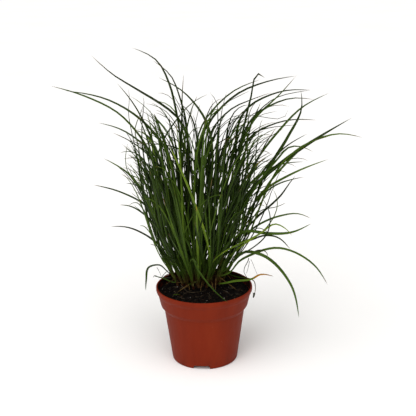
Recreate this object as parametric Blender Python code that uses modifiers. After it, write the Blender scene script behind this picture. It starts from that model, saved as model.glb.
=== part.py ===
"""Potted ornamental grass clump: a turned plastic nursery pot, its soil and the grass shoots.

World frame in metres, +Z up, origin on the pot's axis where the pot stands. -Y is the front.
The plant is worked out in millimetres, and each point is scaled once when its mesh is made.
"""
import math

import bmesh
import bpy
import numpy as np
from mathutils import Matrix, Vector
from mathutils.bvhtree import BVHTree

MM = 0.001
TOUCH_GAP = 0.3
MERGE_WITHIN = 0.00001

# Pot: a round 12 cm nursery pot, thin wall, out-turned lip, collar, and a foot ring with three notches
POT_LIP_R = 60.2
POT_HEIGHT = 96.0
POT_WALL = 1.3
POT_STEPS = 32
LIP_WIDTH = 2.0
LIP_ROUND = 0.7
LIP_LOW_Z = 91.5
LIP_UNDERCUT = (1.2, 2.8)
LIP_DRAFT = 0.5
INNER_STEP = 0.5
COLLAR_TOP_R = 57.7
COLLAR_TOP_Z = 86.4
COLLAR_LOW_R = 54.6
COLLAR_LOW_Z = 72.6
COLLAR_EDGE = (0.7, 0.9)
BODY_TOP_R = 50.4
BODY_TOP_Z = 67.0
FOOT_R = 41.0
FOOT_EDGE = 0.9
FOOT_ROUND = (0.3, 0.5)
FOOT_RING_WIDTH = 2.2
BASE_LOW_Z = 5.0
BASE_TOP_Z = 6.4
NOTCH_COUNT = 3
NOTCH_HEIGHT = 4.7
NOTCH_TOP_WIDTH = 18.0
NOTCH_LOW_WIDTH = 23.6
FIRST_NOTCH_TURN = -96.0
NOTCH_CUT_IN = 8.0
NOTCH_CUT_OUT = 4.0
NOTCH_CUT_LOW_Z = -2.0
DRAIN_COUNT = 4
DRAIN_SIDES = 10
DRAIN_TURN = 30.0
DRAIN_R = 4.0
DRAIN_CIRCLE_R = 27.0

# Soil: fills the pot to a few millimetres under the lip and is mounded round the clump
SOIL_EDGE_Z = 88.5
SOIL_MOUND = 3.2
SOIL_MOUND_WIDTH = 34.0
SOIL_RINGS = (0.0, 11.0, 22.0, 33.0, 44.0, 52.0)
SOIL_WALL_GAP = 0.6
SOIL_STEPS = 20
SOIL_RIM_LOW = 2.5
SOIL_RIM_DROP = 1.2
SOIL_CORNER_RISE = 1.0
RIPPLE_HEIGHT = 0.5
RIPPLE_TURN = (0.19, 0.23)
RIPPLE_SHIFT = (0.4, -0.7)

# Clump: the shoots' feet fill an ellipse behind the pot's axis, and the shoots lean outwards
CLUMP_X = -7.0
CLUMP_Y = 22.0
CLUMP_HALF_WIDTH = 30.0
CLUMP_HALF_DEPTH = 22.0
SHOOT_COUNT = 50
LEAVES_PER_SHOOT = 4
GOLDEN_TURN = math.pi * (3.0 - math.sqrt(5.0))
SHEATH_SIDES = 4
FOOT_CHECK_STEPS = 9
SHEATH_FOOT_R = 1.7
SHEATH_TOP_R = 1.15
SHEATH_LENGTH = (42.0, 66.0)
LENGTH_TURN = 0.618
LEAN_WIDE = 0.45
LEAN_DEEP = 0.50

# Leaves: keeled blades, widest a third of the way up
LEAF_WIDTH = (2.3, 3.3)
LEAF_KEEL = 0.9
LEAST_KEEL = 0.45
LEAF_TIP_WIDTH = 0.35
BASE_WIDTH_SHARE = 0.62
WIDTH_RISE = 1.2
FULL_WIDTH_SHARE = 0.35
TIP_POWER = 3.0
CLEAR_TWIST = (1.4, 2.0)
FILL_TWIST = (-1.2, 1.2)
FIRST_TURN = 0.4
LEAF_GAP = 0.5
LEAF_RINGS = 2
TURN_PER_RING = math.radians(38.0)
LEAVE_SHEATH = 0.4
LEAVE_LOW = 1.2
COLLAR_STEPS = (0.95, 0.62, 0.3, 0.46)
TRIES = 160
SHOOT_TRIES = 6
CURVE_SAMPLES = 17
FINE_STEPS = 40
POT_CHECK_STEPS = 8
SPOT_LIMIT = 0.97
POT_MARGIN = 2.0
BED_MARGIN = 8.0
OUTLINE_SLACK = 3.0
SLIDES = (0.0, 3.0, -3.0, 6.0, -6.0, 9.0, -9.0, 12.0, -12.0, 16.0, -16.0, 20.0, -20.0)
DEPTH_SHARE = 0.7
DEPTH_POWER = 1.5
FIRST_DEPTH = 0.5
SEED = 26

# Leaves that stand clear of the clump in the front view: depth of the tip (y), width, and the
# points (x, z) that the blade passes on its way from the clump to its tip
CLEAR_LEAVES = (
    (-42, 3.6, ((-21, 175), (-29, 221), (-35, 253), (-45, 294))),
    (-40, 3.1, ((-18, 178), (-18, 203), (-8, 250), (-4, 272))),
    (-44, 4.3, ((10, 200), (2, 234), (-1, 258), (-4, 288))),
    (46, 3.2, ((-74, 275), (-102, 307), (-142, 328), (-185, 341))),
    (20, 3.0, ((-49, 274), (-76, 305), (-109, 326), (-164, 339))),
    (10, 3.1, ((-30, 307), (-82, 344), (-102, 357), (-129, 382))),
    (2, 2.8, ((-65, 292), (-83, 328), (-99, 350))),
    (30, 3.2, ((-31, 310), (-39, 345), (-52, 371), (-83, 388))),
    (10, 2.8, ((-25, 326), (-36, 356), (-57, 375))),
    (20, 3.3, ((-24, 311), (-23, 337), (-21, 357))),
    (-20, 3.1, ((-2, 318), (-22, 342), (-49, 359))),
    (60, 2.9, ((-75, 268), (-100, 284), (-131, 292))),
    (40, 2.9, ((-67, 257), (-83, 270), (-111, 284))),
    (-20, 2.9, ((-79, 231), (-89, 245), (-116, 265))),
    (50, 2.8, ((-73, 188), (-104, 205), (-139, 214))),
    (-10, 4.6, ((-36, 246), (-46, 285), (-56, 316))),
    (30, 2.5, ((-71, 179), (-92, 192), (-105, 193))),
    (-20, 4.4, ((47, 285), (57, 331), (66, 361), (73, 357))),
    (30, 3.0, ((11, 301), (44, 332), (80, 346), (115, 352))),
    (-10, 3.0, ((9, 312), (38, 340), (69, 354))),
    (10, 2.9, ((68, 309), (92, 332), (112, 355))),
    (40, 3.0, ((63, 319), (101, 333), (133, 333))),
    (-30, 3.0, ((72, 319), (103, 333), (129, 333))),
    (-10, 3.1, ((68, 259), (92, 292), (118, 320), (148, 337))),
    (-40, 5.2, ((74, 244), (100, 290), (114, 323), (112, 346))),
    (60, 2.8, ((71, 283), (103, 293), (144, 292))),
    (-30, 4.8, ((54, 215), (97, 258), (133, 285), (173, 311))),
    (-30, 2.9, ((91, 242), (131, 281), (160, 291), (186, 288))),
    (-50, 2.8, ((105, 270), (120, 284), (144, 295))),
    (20, 3.0, ((76, 211), (111, 233), (154, 251))),
    (-30, 2.6, ((65, 208), (87, 230), (119, 243))),
    (-60, 2.9, ((85, 262), (101, 281), (112, 283), (125, 279))),
    (30, 2.6, ((80, 240), (102, 264), (129, 281))),
    (20, 2.5, ((62, 164), (97, 180), (118, 182), (135, 175))),
    (0, 3.7, ((52, 169), (79, 166), (109, 168), (131, 179))),
    (40, 2.5, ((62, 142), (77, 147), (93, 145), (111, 128))),
    (-10, 2.4, ((70, 168), (88, 180), (98, 176), (107, 167))),
    (-20, 3.0, ((72, 189), (81, 199), (94, 214), (104, 231), (110, 241))),
    (0, 2.6, ((79, 240), (94, 248), (105, 251), (122, 253))),
    (10, 2.4, ((18, 278), (19, 305), (17, 326), (9, 337))),
    (-15, 2.6, ((-15, 262), (-27, 272), (-41, 277), (-62, 280), (-79, 281))),
    (-5, 2.2, ((-47, 280), (-38, 295), (-26, 311), (-13, 325), (8, 337))),
    (20, 2.4, ((22, 303), (39, 317), (58, 325), (84, 334))),
    (-122, 3.1, ((12, 240), (20, 270), (26, 262))),
    (122, 3.1, ((-14, 250), (-22, 276), (-28, 270))),
)

# Leaves that start low or hang over the rim: width, the share of the sheath's height at which the
# leaf parts from its shoot, and the points (x, y, z) that it passes
LOW_LEAVES = (
    (2.8, 0.5, (
        (-23, -13, 164), (-18, -22, 158), (-8, -31, 130), (1, -37, 118), (11, -45, 108), (29, -64, 98)
    )),
    (2.6, 0.1, ((22, -1, 98), (38, -6, 103), (60, -9, 107), (69, -11, 113), (86, -12, 111))),
    (3.8, 0.45, ((30, 2, 118), (53, -4, 141), (69, -8, 139), (106, -14, 103), (118, -15, 56))),
    (2.9, 0.35, ((30, 4, 109), (45, 2, 127), (61, 1, 136), (88, 0, 144), (136, 0, 122), (155, 0, 94))),
    (1.2, 0.3, ((43, 8, 103), (55, 6, 102), (62.5, 5, 98.5), (64.5, 5, 89), (62.6, 5, 77))),
    (2.6, 0.5, ((-41, 10, 112), (-56, 10, 147), (-71, 10, 159), (-95, 10, 170), (-115, 10, 171))),
    (2.7, 0.3, ((-41, 18, 105), (-57, 20, 116), (-70, 20, 113), (-74, 20, 95), (-75, 20, 81))),
    (1.7, 0.3, ((-36, 8, 98), (-55, 10, 103), (-64, 10, 105))),
)

# Half-width of the dense clump in the front view, at these heights: left of the axis, then right
FRONT_HEIGHTS = (90.0, 118.0, 183.0, 225.0, 258.0, 300.0, 335.0, 350.0)
FRONT_LEFT = (-37.0, -46.0, -77.0, -88.0, -94.0, -84.0, -60.0, -48.0)
FRONT_RIGHT = (24.0, 38.0, 66.0, 82.0, 88.0, 84.0, 64.0, 44.0)
DEPTH_LIMIT = 116.0
VIEW_RISE = 0.3
FILL_TOP = (190.0, 345.0)
FILL_HIGH_LOW_ODDS = (1.6, 1.1)
FILL_REACH = (14.0, 98.0)
FILL_LEAST_REACH = 0.35
FILL_DEPTH = 0.5
FRONT_EXTRA = 32.0
FRONT_SINE = -0.3
FILL_STRAY = (0.7, 0.9)
FILL_LEAN = (0.5, 1.9)
LAST_EASE = 0.4
LAST_DROP = 0.25

# The single short blade at the front left: where it comes up and ends (x, y), and its heights
SHORT_BLADE_FOOT = (-30.0, -22.0)
SHORT_BLADE_TIP = (-38.0, -31.0)
SHORT_BLADE_LIFT = 2.0
SHORT_BLADE_RISE = 4.5
SHORT_BLADE_WAY = (-0.4, -0.4, 0.8)
SHORT_BLADE_WIDTH = 1.8
SHORT_BLADE_TWIST = 0.4
SHORT_BLADE_RINGS = 4


def soil_height(x, y):
    """Height of the soil's smooth surface: a level bed with a mound under the clump."""
    away = ((x - CLUMP_X) / SOIL_MOUND_WIDTH) ** 2 + ((y - CLUMP_Y) / SOIL_MOUND_WIDTH) ** 2
    wave = math.sin(RIPPLE_TURN[0] * x + RIPPLE_SHIFT[0]) * math.cos(RIPPLE_TURN[1] * y + RIPPLE_SHIFT[1])
    return SOIL_EDGE_Z + SOIL_MOUND * math.exp(-away) + RIPPLE_HEIGHT * wave


def unit(vector):
    return vector / np.linalg.norm(vector)


def smooth_path(points, start_way, end_way, steps):
    """Points along a smooth curve through the given ones, evenly spaced by length."""
    knots = np.array(points, float)
    chords = np.linalg.norm(np.diff(knots, axis=0), axis=1)
    ways = np.zeros_like(knots)
    for i in range(1, len(knots) - 1):
        before = (knots[i] - knots[i - 1]) / chords[i - 1]
        after = (knots[i + 1] - knots[i]) / chords[i]
        blend = chords[i - 1] / (chords[i - 1] + chords[i])
        ways[i] = before * (1.0 - blend) + after * blend
    ways[0] = start_way
    ways[-1] = end_way if end_way is not None else 1.5 * (knots[-1] - knots[-2]) / chords[-1] - 0.5 * ways[-2]
    curve = []
    for i, chord in enumerate(chords):
        t = np.linspace(0.0, 1.0, CURVE_SAMPLES)[: None if i == len(chords) - 1 else -1, None]
        curve.append(
            (2 * t**3 - 3 * t**2 + 1) * knots[i]
            + (t**3 - 2 * t**2 + t) * chord * ways[i]
            + (3 * t**2 - 2 * t**3) * knots[i + 1]
            + (t**3 - t**2) * chord * ways[i + 1]
        )
    curve = np.concatenate(curve)
    run = np.concatenate([[0.0], np.cumsum(np.linalg.norm(np.diff(curve, axis=0), axis=1))])
    wanted = np.linspace(0.0, run[-1], steps)
    return np.stack([np.interp(wanted, run, curve[:, axis]) for axis in range(3)], axis=1)


def turning(path):
    """Total angle that a path turns through."""
    ways = np.diff(path, axis=0)
    ways /= np.linalg.norm(ways, axis=1)[:, None]
    cosines = np.clip((ways[:-1] * ways[1:]).sum(axis=1), -1.0, 1.0)
    return float(np.arccos(cosines).sum())


def leaf_line(points, start_way, end_way=None):
    """A leaf's centre line, with more points where it bends more."""
    fine = smooth_path(points, start_way, end_way, FINE_STEPS)
    rings = LEAF_RINGS + int(turning(fine) / TURN_PER_RING)
    return smooth_path(points, start_way, end_way, rings + 1)


def segment_gaps(path, others):
    """Smallest distance from each other segment to the path, both as pairs of end points."""
    a = path[:-1, None]
    d = np.diff(path, axis=0)[:, None]
    b = others[None, :, 0]
    e = (others[:, 1] - others[:, 0])[None]
    r = a - b
    dd = (d * d).sum(-1)
    ee = (e * e).sum(-1)
    de = (d * e).sum(-1)
    dr = (d * r).sum(-1)
    er = (e * r).sum(-1)
    bottom = dd * ee - de * de
    s = np.clip((de * er - dr * ee) / np.where(bottom > 1e-9, bottom, 1.0), 0.0, 1.0)
    t = np.clip((de * s + er) / ee, 0.0, 1.0)
    s = np.clip((de * t - dr) / dd, 0.0, 1.0)
    return np.linalg.norm(r + s[..., None] * d - t[..., None] * e, axis=-1).min(axis=0)


class Crowd:
    """The leaf and sheath segments placed so far, each with its shoot and half-width."""

    def __init__(self):
        self.ends = np.zeros((0, 2, 3))
        self.half = np.zeros(0)
        self.shoot = np.zeros(0, int)
        self.outer = np.zeros(0, bool)

    def add(self, path, half, shoot):
        count = len(path) - 1
        self.ends = np.concatenate([self.ends, np.stack([path[:-1], path[1:]], axis=1)])
        self.half = np.concatenate([self.half, np.full(count, half)])
        self.shoot = np.concatenate([self.shoot, np.full(count, shoot)])
        self.outer = np.concatenate([self.outer, np.arange(count) > 0])

    def keeps_off(self, path, half, others):
        """Whether a path of this half-width keeps the gap to these segments."""
        reach = half + self.half + LEAF_GAP
        low = path.min(axis=0) - reach[:, None]
        high = path.max(axis=0) + reach[:, None]
        near = (self.ends.max(axis=1) > low).all(axis=1) & (self.ends.min(axis=1) < high).all(axis=1)
        near &= others
        if not near.any():
            return True
        return bool((segment_gaps(path, self.ends[near]) > reach[near]).all())

    def free(self, path, half, shoot):
        """Whether a leaf keeps off the other shoots, and beyond its first stretch off its own shoot too."""
        same = self.shoot == shoot
        return self.keeps_off(path, half, ~same) and self.keeps_off(path[1:], half, same & self.outer)


def clears_pot(path):
    """Whether a leaf stays off the soil and the pot's lip."""
    fine = np.concatenate([np.linspace(a, b, POT_CHECK_STEPS) for a, b in zip(path[:-1], path[1:])])
    out = np.hypot(fine[:, 0], fine[:, 1])
    over_pot = (out < POT_LIP_R + POT_MARGIN) & (fine[:, 2] < POT_HEIGHT + POT_MARGIN)
    in_bed = (out < POT_LIP_R - BED_MARGIN) & (fine[:, 2] > SOIL_EDGE_Z + SOIL_MOUND + POT_MARGIN)
    return not (over_pot & ~in_bed).any()


def in_front_outline(path):
    """Whether a leaf stays inside the dense clump's front outline and depth."""
    height = path[:, 2] + VIEW_RISE * (path[:, 1] - CLUMP_Y)
    left = np.interp(height, FRONT_HEIGHTS, FRONT_LEFT)
    right = np.interp(height, FRONT_HEIGHTS, FRONT_RIGHT)
    inside = (path[:, 0] > left - OUTLINE_SLACK) & (path[:, 0] < right + OUTLINE_SLACK)
    inside &= (np.abs(path[:, 1]) < DEPTH_LIMIT) & (height < FRONT_HEIGHTS[-1])
    return bool(inside.all())


def grow_shoots():
    """Each shoot's foot, way and sheath length, on a sunflower pattern in the clump's ellipse."""
    shoots = []
    for k in range(SHOOT_COUNT):
        out = math.sqrt((k + 0.5) / SHOOT_COUNT)
        wide = out * math.cos(k * GOLDEN_TURN)
        deep = out * math.sin(k * GOLDEN_TURN)
        x = CLUMP_X + CLUMP_HALF_WIDTH * wide
        y = CLUMP_Y + CLUMP_HALF_DEPTH * deep
        foot = np.array([x, y, soil_height(x, y)])
        way = unit(np.array([LEAN_WIDE * wide, LEAN_DEEP * deep, 1.0]))
        length = SHEATH_LENGTH[0] + (SHEATH_LENGTH[1] - SHEATH_LENGTH[0]) * ((k * LENGTH_TURN) % 1.0)
        shoot = {"number": k, "foot": foot, "way": way, "length": length, "spot": (wide, deep), "leaves": []}
        shoots.append(shoot)
    return shoots


def collar_of(shoot, step=None):
    """Where the shoot's next leaf leaves its sheath, at this share of its height or the usual one."""
    step = COLLAR_STEPS[len(shoot["leaves"])] if step is None else step
    return shoot["foot"] + shoot["way"] * shoot["length"] * step


def nearest_shoots(shoots, x, y, z):
    """The shoots with room for a leaf, best first, whose place suits a leaf that passes this point."""
    rise = z - SOIL_EDGE_Z
    wide = (x - CLUMP_X) / (CLUMP_HALF_WIDTH + LEAN_WIDE * rise)
    deep = (y - CLUMP_Y) / (CLUMP_HALF_DEPTH + LEAN_DEEP * rise)
    size = max(1.0, math.hypot(wide, deep) / SPOT_LIMIT)
    open_shoots = [s for s in shoots if len(s["leaves"]) < LEAVES_PER_SHOOT - 1]
    return sorted(open_shoots, key=lambda s: math.dist(s["spot"], (wide / size, deep / size)))


def leaving_way(shoot, collar, goal, tilt=LEAVE_SHEATH):
    """The direction in which a leaf parts from its sheath: up the shoot, tilted towards its goal."""
    aside = (goal - collar) * np.array([1.0, 1.0, 0.0])
    size = np.linalg.norm(aside)
    return unit(shoot["way"] + tilt * aside / max(size, 1.0))


def add_leaf(crowd, shoot, path, width, twist):
    shoot["leaves"].append({"path": path, "width": width, "twist": twist})
    crowd.add(path, width / 2, shoot["number"])


def clear_leaf_line(shoot, depth, points, slide):
    """The centre line of a leaf that stands clear, with its outer part moved in depth by a slide."""
    collar = collar_of(shoot)
    knots = [collar]
    for i, (x, z) in enumerate(points):
        part = DEPTH_SHARE + (1.0 - DEPTH_SHARE) * (i / (len(points) - 1))
        y = collar[1] + (depth - collar[1]) * part**DEPTH_POWER
        knots.append(np.array([x, y + slide, z]))
    return leaf_line(knots, leaving_way(shoot, collar, knots[1]))


def place_low_leaves(crowd, shoots, rng):
    """The leaves that start low or hang over the rim, each from the first shoot that has room."""
    for width, step, points in LOW_LEAVES:
        for shoot in nearest_shoots(shoots, *points[0])[:SHOOT_TRIES]:
            collar = collar_of(shoot, step)
            first = np.array(points[0], float)
            path = leaf_line([collar, *points], leaving_way(shoot, collar, first, LEAVE_LOW))
            if clears_pot(path) and crowd.free(path, width / 2, shoot["number"]):
                add_leaf(crowd, shoot, path, width, rng.uniform(*CLEAR_TWIST))
                break


def place_clear_leaves(crowd, shoots, rng):
    """The leaves that stand clear: each tries a few shoots and small slides until it has room."""
    for depth, width, points in CLEAR_LEAVES:
        first_y = CLUMP_Y + (depth - CLUMP_Y) * DEPTH_SHARE * FIRST_DEPTH
        nearest = nearest_shoots(shoots, points[0][0], first_y, points[0][1])[:SHOOT_TRIES]
        steps = [0.0] if abs(depth) > DEPTH_LIMIT else SLIDES
        for slide, shoot in ((slide, shoot) for slide in steps for shoot in nearest):
            path = clear_leaf_line(shoot, depth, points, slide)
            if clears_pot(path) and crowd.free(path, width / 2, shoot["number"]):
                add_leaf(crowd, shoot, path, width, rng.uniform(*CLEAR_TWIST))
                break


def place_fill_leaves(crowd, shoots, rng):
    """The leaves of the dense clump: each tries other ways to lean until it has room."""
    for turn in range(LEAVES_PER_SHOOT):
        for shoot in shoots:
            if len(shoot["leaves"]) >= turn + 1:
                continue
            collar = collar_of(shoot)
            wide, deep = shoot["spot"]
            for attempt in range(TRIES):
                ease = 1.0 - LAST_EASE * attempt / TRIES
                out = math.hypot(wide, deep)
                stray = FILL_STRAY[0] + FILL_STRAY[1] * (1.0 - out)
                azimuth = math.atan2(deep, wide) + rng.normal(0.0, stray)
                most = FILL_REACH[1] + (FRONT_EXTRA if math.sin(azimuth) < FRONT_SINE else 0.0)
                reach = FILL_REACH[0] + (most - FILL_REACH[0]) * rng.uniform(FILL_LEAST_REACH, 1.0)
                top = FILL_TOP[0] + (FILL_TOP[1] - FILL_TOP[0]) * rng.beta(*FILL_HIGH_LOW_ODDS)
                width = rng.uniform(*LEAF_WIDTH)
                lean = rng.uniform(*FILL_LEAN)
                way = unit(np.array([math.cos(azimuth), FILL_DEPTH * math.sin(azimuth), 0.0]))
                tip = collar + way * reach * ease
                tip[2] = SOIL_EDGE_Z + (top - SOIL_EDGE_Z) * (1.0 - LAST_DROP * (1.0 - ease))
                end_way = way * math.sin(lean) + np.array([0.0, 0.0, math.cos(lean)])
                path = leaf_line([collar, tip], leaving_way(shoot, collar, tip), end_way)
                fits = in_front_outline(path) and clears_pot(path)
                if fits and crowd.free(path, width / 2, shoot["number"]):
                    add_leaf(crowd, shoot, path, width, rng.uniform(*FILL_TWIST))
                    break


def grow_clump():
    """All shoots with their leaves, each leaf clear of the other shoots' leaves."""
    rng = np.random.default_rng(SEED)
    shoots = grow_shoots()
    crowd = Crowd()
    for number, shoot in enumerate(shoots):
        top = shoot["foot"] + shoot["way"] * shoot["length"]
        crowd.add(np.array([shoot["foot"], top]), SHEATH_FOOT_R, number)
    place_low_leaves(crowd, shoots, rng)
    place_clear_leaves(crowd, shoots, rng)
    place_fill_leaves(crowd, shoots, rng)
    return shoots


def clear_scene():
    for item in list(bpy.data.objects):
        bpy.data.objects.remove(item)


def collection(name):
    made = bpy.data.collections.new(name)
    bpy.context.scene.collection.children.link(made)
    return made


def material(name, colour, roughness):
    made = bpy.data.materials.new(name)
    made.use_nodes = True
    shader = made.node_tree.nodes["Principled BSDF"]
    shader.inputs["Base Color"].default_value = (*colour, 1.0)
    shader.inputs["Roughness"].default_value = roughness
    shader.inputs["Metallic"].default_value = 0.0
    return made


def new_object(name, mesh, group, finish=None):
    made = bpy.data.objects.new(name, mesh)
    group.objects.link(made)
    if finish:
        mesh.materials.append(finish)
    return made


def mesh_from(name, bm):
    mesh = bpy.data.meshes.new(name)
    bm.to_mesh(mesh)
    bm.free()
    return mesh


def turned(name, profile, group, finish):
    """A closed profile (radius, height) in millimetres, outer side first, turned about Z."""
    bm = bmesh.new()
    points = [bm.verts.new((r * MM, 0.0, z * MM)) for r, z in profile]
    for a, b in zip(points[:-1], points[1:]):
        bm.edges.new((a, b))
    made = new_object(name, mesh_from(name, bm), group, finish)
    screw = made.modifiers.new("Turn", "SCREW")
    screw.steps = POT_STEPS
    screw.render_steps = POT_STEPS
    screw.use_merge_vertices = True
    screw.merge_threshold = MERGE_WITHIN
    screw.use_smooth_shade = True
    return made


def cut(target, cutter):
    made = target.modifiers.new(cutter.name, "BOOLEAN")
    made.operation = "DIFFERENCE"
    made.object = cutter
    made.solver = "EXACT"


def hide_cutter(item):
    item.hide_render = True
    item.display_type = "WIRE"


def notch_cutter(index, cutters):
    """A wedge that is wider below, through the foot ring."""
    bm = bmesh.new()
    for z, width in ((NOTCH_CUT_LOW_Z, NOTCH_LOW_WIDTH), (NOTCH_HEIGHT, NOTCH_TOP_WIDTH)):
        for x in (FOOT_R - NOTCH_CUT_IN, FOOT_R + NOTCH_CUT_OUT):
            bm.verts.new((x * MM, width / 2 * MM, z * MM))
            bm.verts.new((x * MM, -width / 2 * MM, z * MM))
    bmesh.ops.convex_hull(bm, input=bm.verts)
    bmesh.ops.recalc_face_normals(bm, faces=bm.faces)
    name = f"notch_cutter_{index}"
    made = new_object(name, mesh_from(name, bm), cutters)
    made.rotation_euler.z = math.radians(FIRST_NOTCH_TURN + 360.0 * index / NOTCH_COUNT)
    hide_cutter(made)
    return made


def drain_cutter(index, cutters):
    bm = bmesh.new()
    pin = {"segments": DRAIN_SIDES, "radius1": DRAIN_R * MM, "radius2": DRAIN_R * MM}
    bmesh.ops.create_cone(bm, cap_ends=True, depth=BASE_LOW_Z * 2.0 * MM, **pin)
    name = f"drain_cutter_{index}"
    made = new_object(name, mesh_from(name, bm), cutters)
    turn = math.radians(FIRST_NOTCH_TURN + DRAIN_TURN + 360.0 * index / DRAIN_COUNT)
    made.location = (
        DRAIN_CIRCLE_R * math.cos(turn) * MM,
        DRAIN_CIRCLE_R * math.sin(turn) * MM,
        (BASE_LOW_Z + BASE_TOP_Z) / 2 * MM,
    )
    hide_cutter(made)
    return made


def body_radius(z):
    """Outer radius of the tapered body at a height."""
    share = (z - FOOT_EDGE) / (BODY_TOP_Z - FOOT_EDGE)
    foot = FOOT_R + FOOT_EDGE * FOOT_ROUND[0]
    return foot + (BODY_TOP_R - foot) * share


def pot_profile():
    """The pot's section from the middle of the lip, down the outside, under the foot and up inside."""
    inner_lip_r = POT_LIP_R - LIP_WIDTH
    outside = [
        (POT_LIP_R - LIP_ROUND, POT_HEIGHT),
        (POT_LIP_R, POT_HEIGHT - LIP_ROUND),
        (POT_LIP_R, LIP_LOW_Z),
        (POT_LIP_R - LIP_UNDERCUT[0], LIP_LOW_Z - LIP_UNDERCUT[1]),
        (COLLAR_TOP_R, COLLAR_TOP_Z),
        (COLLAR_LOW_R, COLLAR_LOW_Z),
        (COLLAR_LOW_R - COLLAR_EDGE[0], COLLAR_LOW_Z - COLLAR_EDGE[1]),
        (BODY_TOP_R, BODY_TOP_Z),
        (body_radius(FOOT_EDGE), FOOT_EDGE),
        (FOOT_R - FOOT_EDGE * FOOT_ROUND[1], 0.0),
        (FOOT_R - FOOT_RING_WIDTH, 0.0),
        (FOOT_R - FOOT_RING_WIDTH, BASE_LOW_Z),
        (0.0, BASE_LOW_Z),
    ]
    inside = [
        (0.0, BASE_TOP_Z),
        (body_radius(BASE_TOP_Z) - POT_WALL, BASE_TOP_Z),
        (BODY_TOP_R - POT_WALL, BODY_TOP_Z + INNER_STEP),
        (COLLAR_LOW_R - POT_WALL, COLLAR_LOW_Z + INNER_STEP),
        (COLLAR_TOP_R - POT_WALL, COLLAR_TOP_Z),
        (inner_lip_r - LIP_DRAFT, LIP_LOW_Z),
        (inner_lip_r, POT_HEIGHT),
        (POT_LIP_R - LIP_ROUND, POT_HEIGHT),
    ]
    return outside + inside


def make_pot(group, cutters, finish):
    pot = turned("pot", pot_profile(), group, finish)
    for index in range(NOTCH_COUNT):
        cut(pot, notch_cutter(index, cutters))
    for index in range(DRAIN_COUNT):
        cut(pot, drain_cutter(index, cutters))
    return pot


def soil_profile():
    """The soil's section: its top from the middle to the rim, then down inside the pot's wall."""
    wall = POT_WALL + SOIL_WALL_GAP
    slope = (COLLAR_TOP_R - COLLAR_LOW_R) / (COLLAR_TOP_Z - COLLAR_LOW_Z)
    rim = COLLAR_TOP_R - wall + slope * (SOIL_EDGE_Z - SOIL_RIM_LOW - COLLAR_TOP_Z)
    top = [(radius, SOIL_EDGE_Z) for radius in SOIL_RINGS]
    side = [
        (rim, SOIL_EDGE_Z - SOIL_RIM_DROP),
        (COLLAR_LOW_R - wall, COLLAR_LOW_Z + SOIL_CORNER_RISE),
        (BODY_TOP_R - wall, BODY_TOP_Z + SOIL_CORNER_RISE),
        (body_radius(BASE_TOP_Z) - wall, BASE_TOP_Z + TOUCH_GAP),
        (0.0, BASE_TOP_Z + TOUCH_GAP),
    ]
    return top + side


def make_soil(group, finish):
    """The soil: a turned body whose top is then raised into the mound and its ripples."""
    bm = bmesh.new()
    points = [bm.verts.new((r * MM, 0.0, z * MM)) for r, z in soil_profile()]
    for a, b in zip(points[:-1], points[1:]):
        bm.edges.new((a, b))
    line = bm.verts[:] + bm.edges[:]
    turn = {"cent": (0.0, 0.0, 0.0), "axis": (0.0, 0.0, 1.0), "angle": 2 * math.pi, "use_merge": True}
    bmesh.ops.spin(bm, geom=line, steps=SOIL_STEPS, **turn)
    bmesh.ops.remove_doubles(bm, verts=bm.verts, dist=MERGE_WITHIN)
    for vert in bm.verts:
        if vert.co.z > COLLAR_TOP_Z * MM:
            level = soil_height(vert.co.x / MM, vert.co.y / MM)
            vert.co.z += (level - SOIL_EDGE_Z) * MM
    bmesh.ops.triangulate(bm, faces=bm.faces)
    bmesh.ops.recalc_face_normals(bm, faces=bm.faces)
    return new_object("soil", mesh_from("soil", bm), group, finish)


def side_way(path):
    """A level direction across a leaf, square to the way it leans."""
    lean = path[-1] - path[0]
    across = np.array([-lean[1], lean[0], 0.0])
    size = np.linalg.norm(across)
    return across / size if size > 1.0 else np.array([1.0, 0.0, 0.0])


def blade_width(share, width):
    """Width along a blade: narrow at the sheath, full from a third up, drawn out to a fine tip."""
    rise = min(1.0, BASE_WIDTH_SHARE + WIDTH_RISE * share)
    fall = 1.0 - max(0.0, (share - FULL_WIDTH_SHARE) / (1.0 - FULL_WIDTH_SHARE)) ** TIP_POWER
    return LEAF_TIP_WIDTH + (width - LEAF_TIP_WIDTH) * rise * fall


def blade_mesh(path, width, twist):
    """A closed three-sided blade: two edges and a keel below, tapering to a point."""
    bm = bmesh.new()
    ways = np.gradient(path, axis=0)
    across = side_way(path)
    last = len(path) - 1
    rings = []
    for i, point in enumerate(path[:-1]):
        share = i / last
        way = unit(ways[i])
        side = unit(across - way * (across @ way))
        normal = np.cross(way, side)
        turn = twist * (FIRST_TURN + (1.0 - FIRST_TURN) * share)
        side, normal = (
            side * math.cos(turn) + normal * math.sin(turn),
            normal * math.cos(turn) - side * math.sin(turn),
        )
        half = blade_width(share, width) / 2
        keel = max(LEAST_KEEL, LEAF_KEEL * half * 2 / width)
        corners = (point + side * half, point - normal * keel, point - side * half)
        rings.append([bm.verts.new(Vector(corner) * MM) for corner in corners])
    tip = bm.verts.new(Vector(path[-1]) * MM)
    bm.faces.new(rings[0])
    for lower, upper in zip(rings[:-1], rings[1:]):
        for a in range(3):
            b = (a + 1) % 3
            bm.faces.new((lower[a], upper[a], upper[b], lower[b]))
    for a in range(3):
        bm.faces.new((rings[-1][a], tip, rings[-1][(a + 1) % 3]))
    bmesh.ops.recalc_face_normals(bm, faces=bm.faces)
    return mesh_from("blade", bm)


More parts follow.
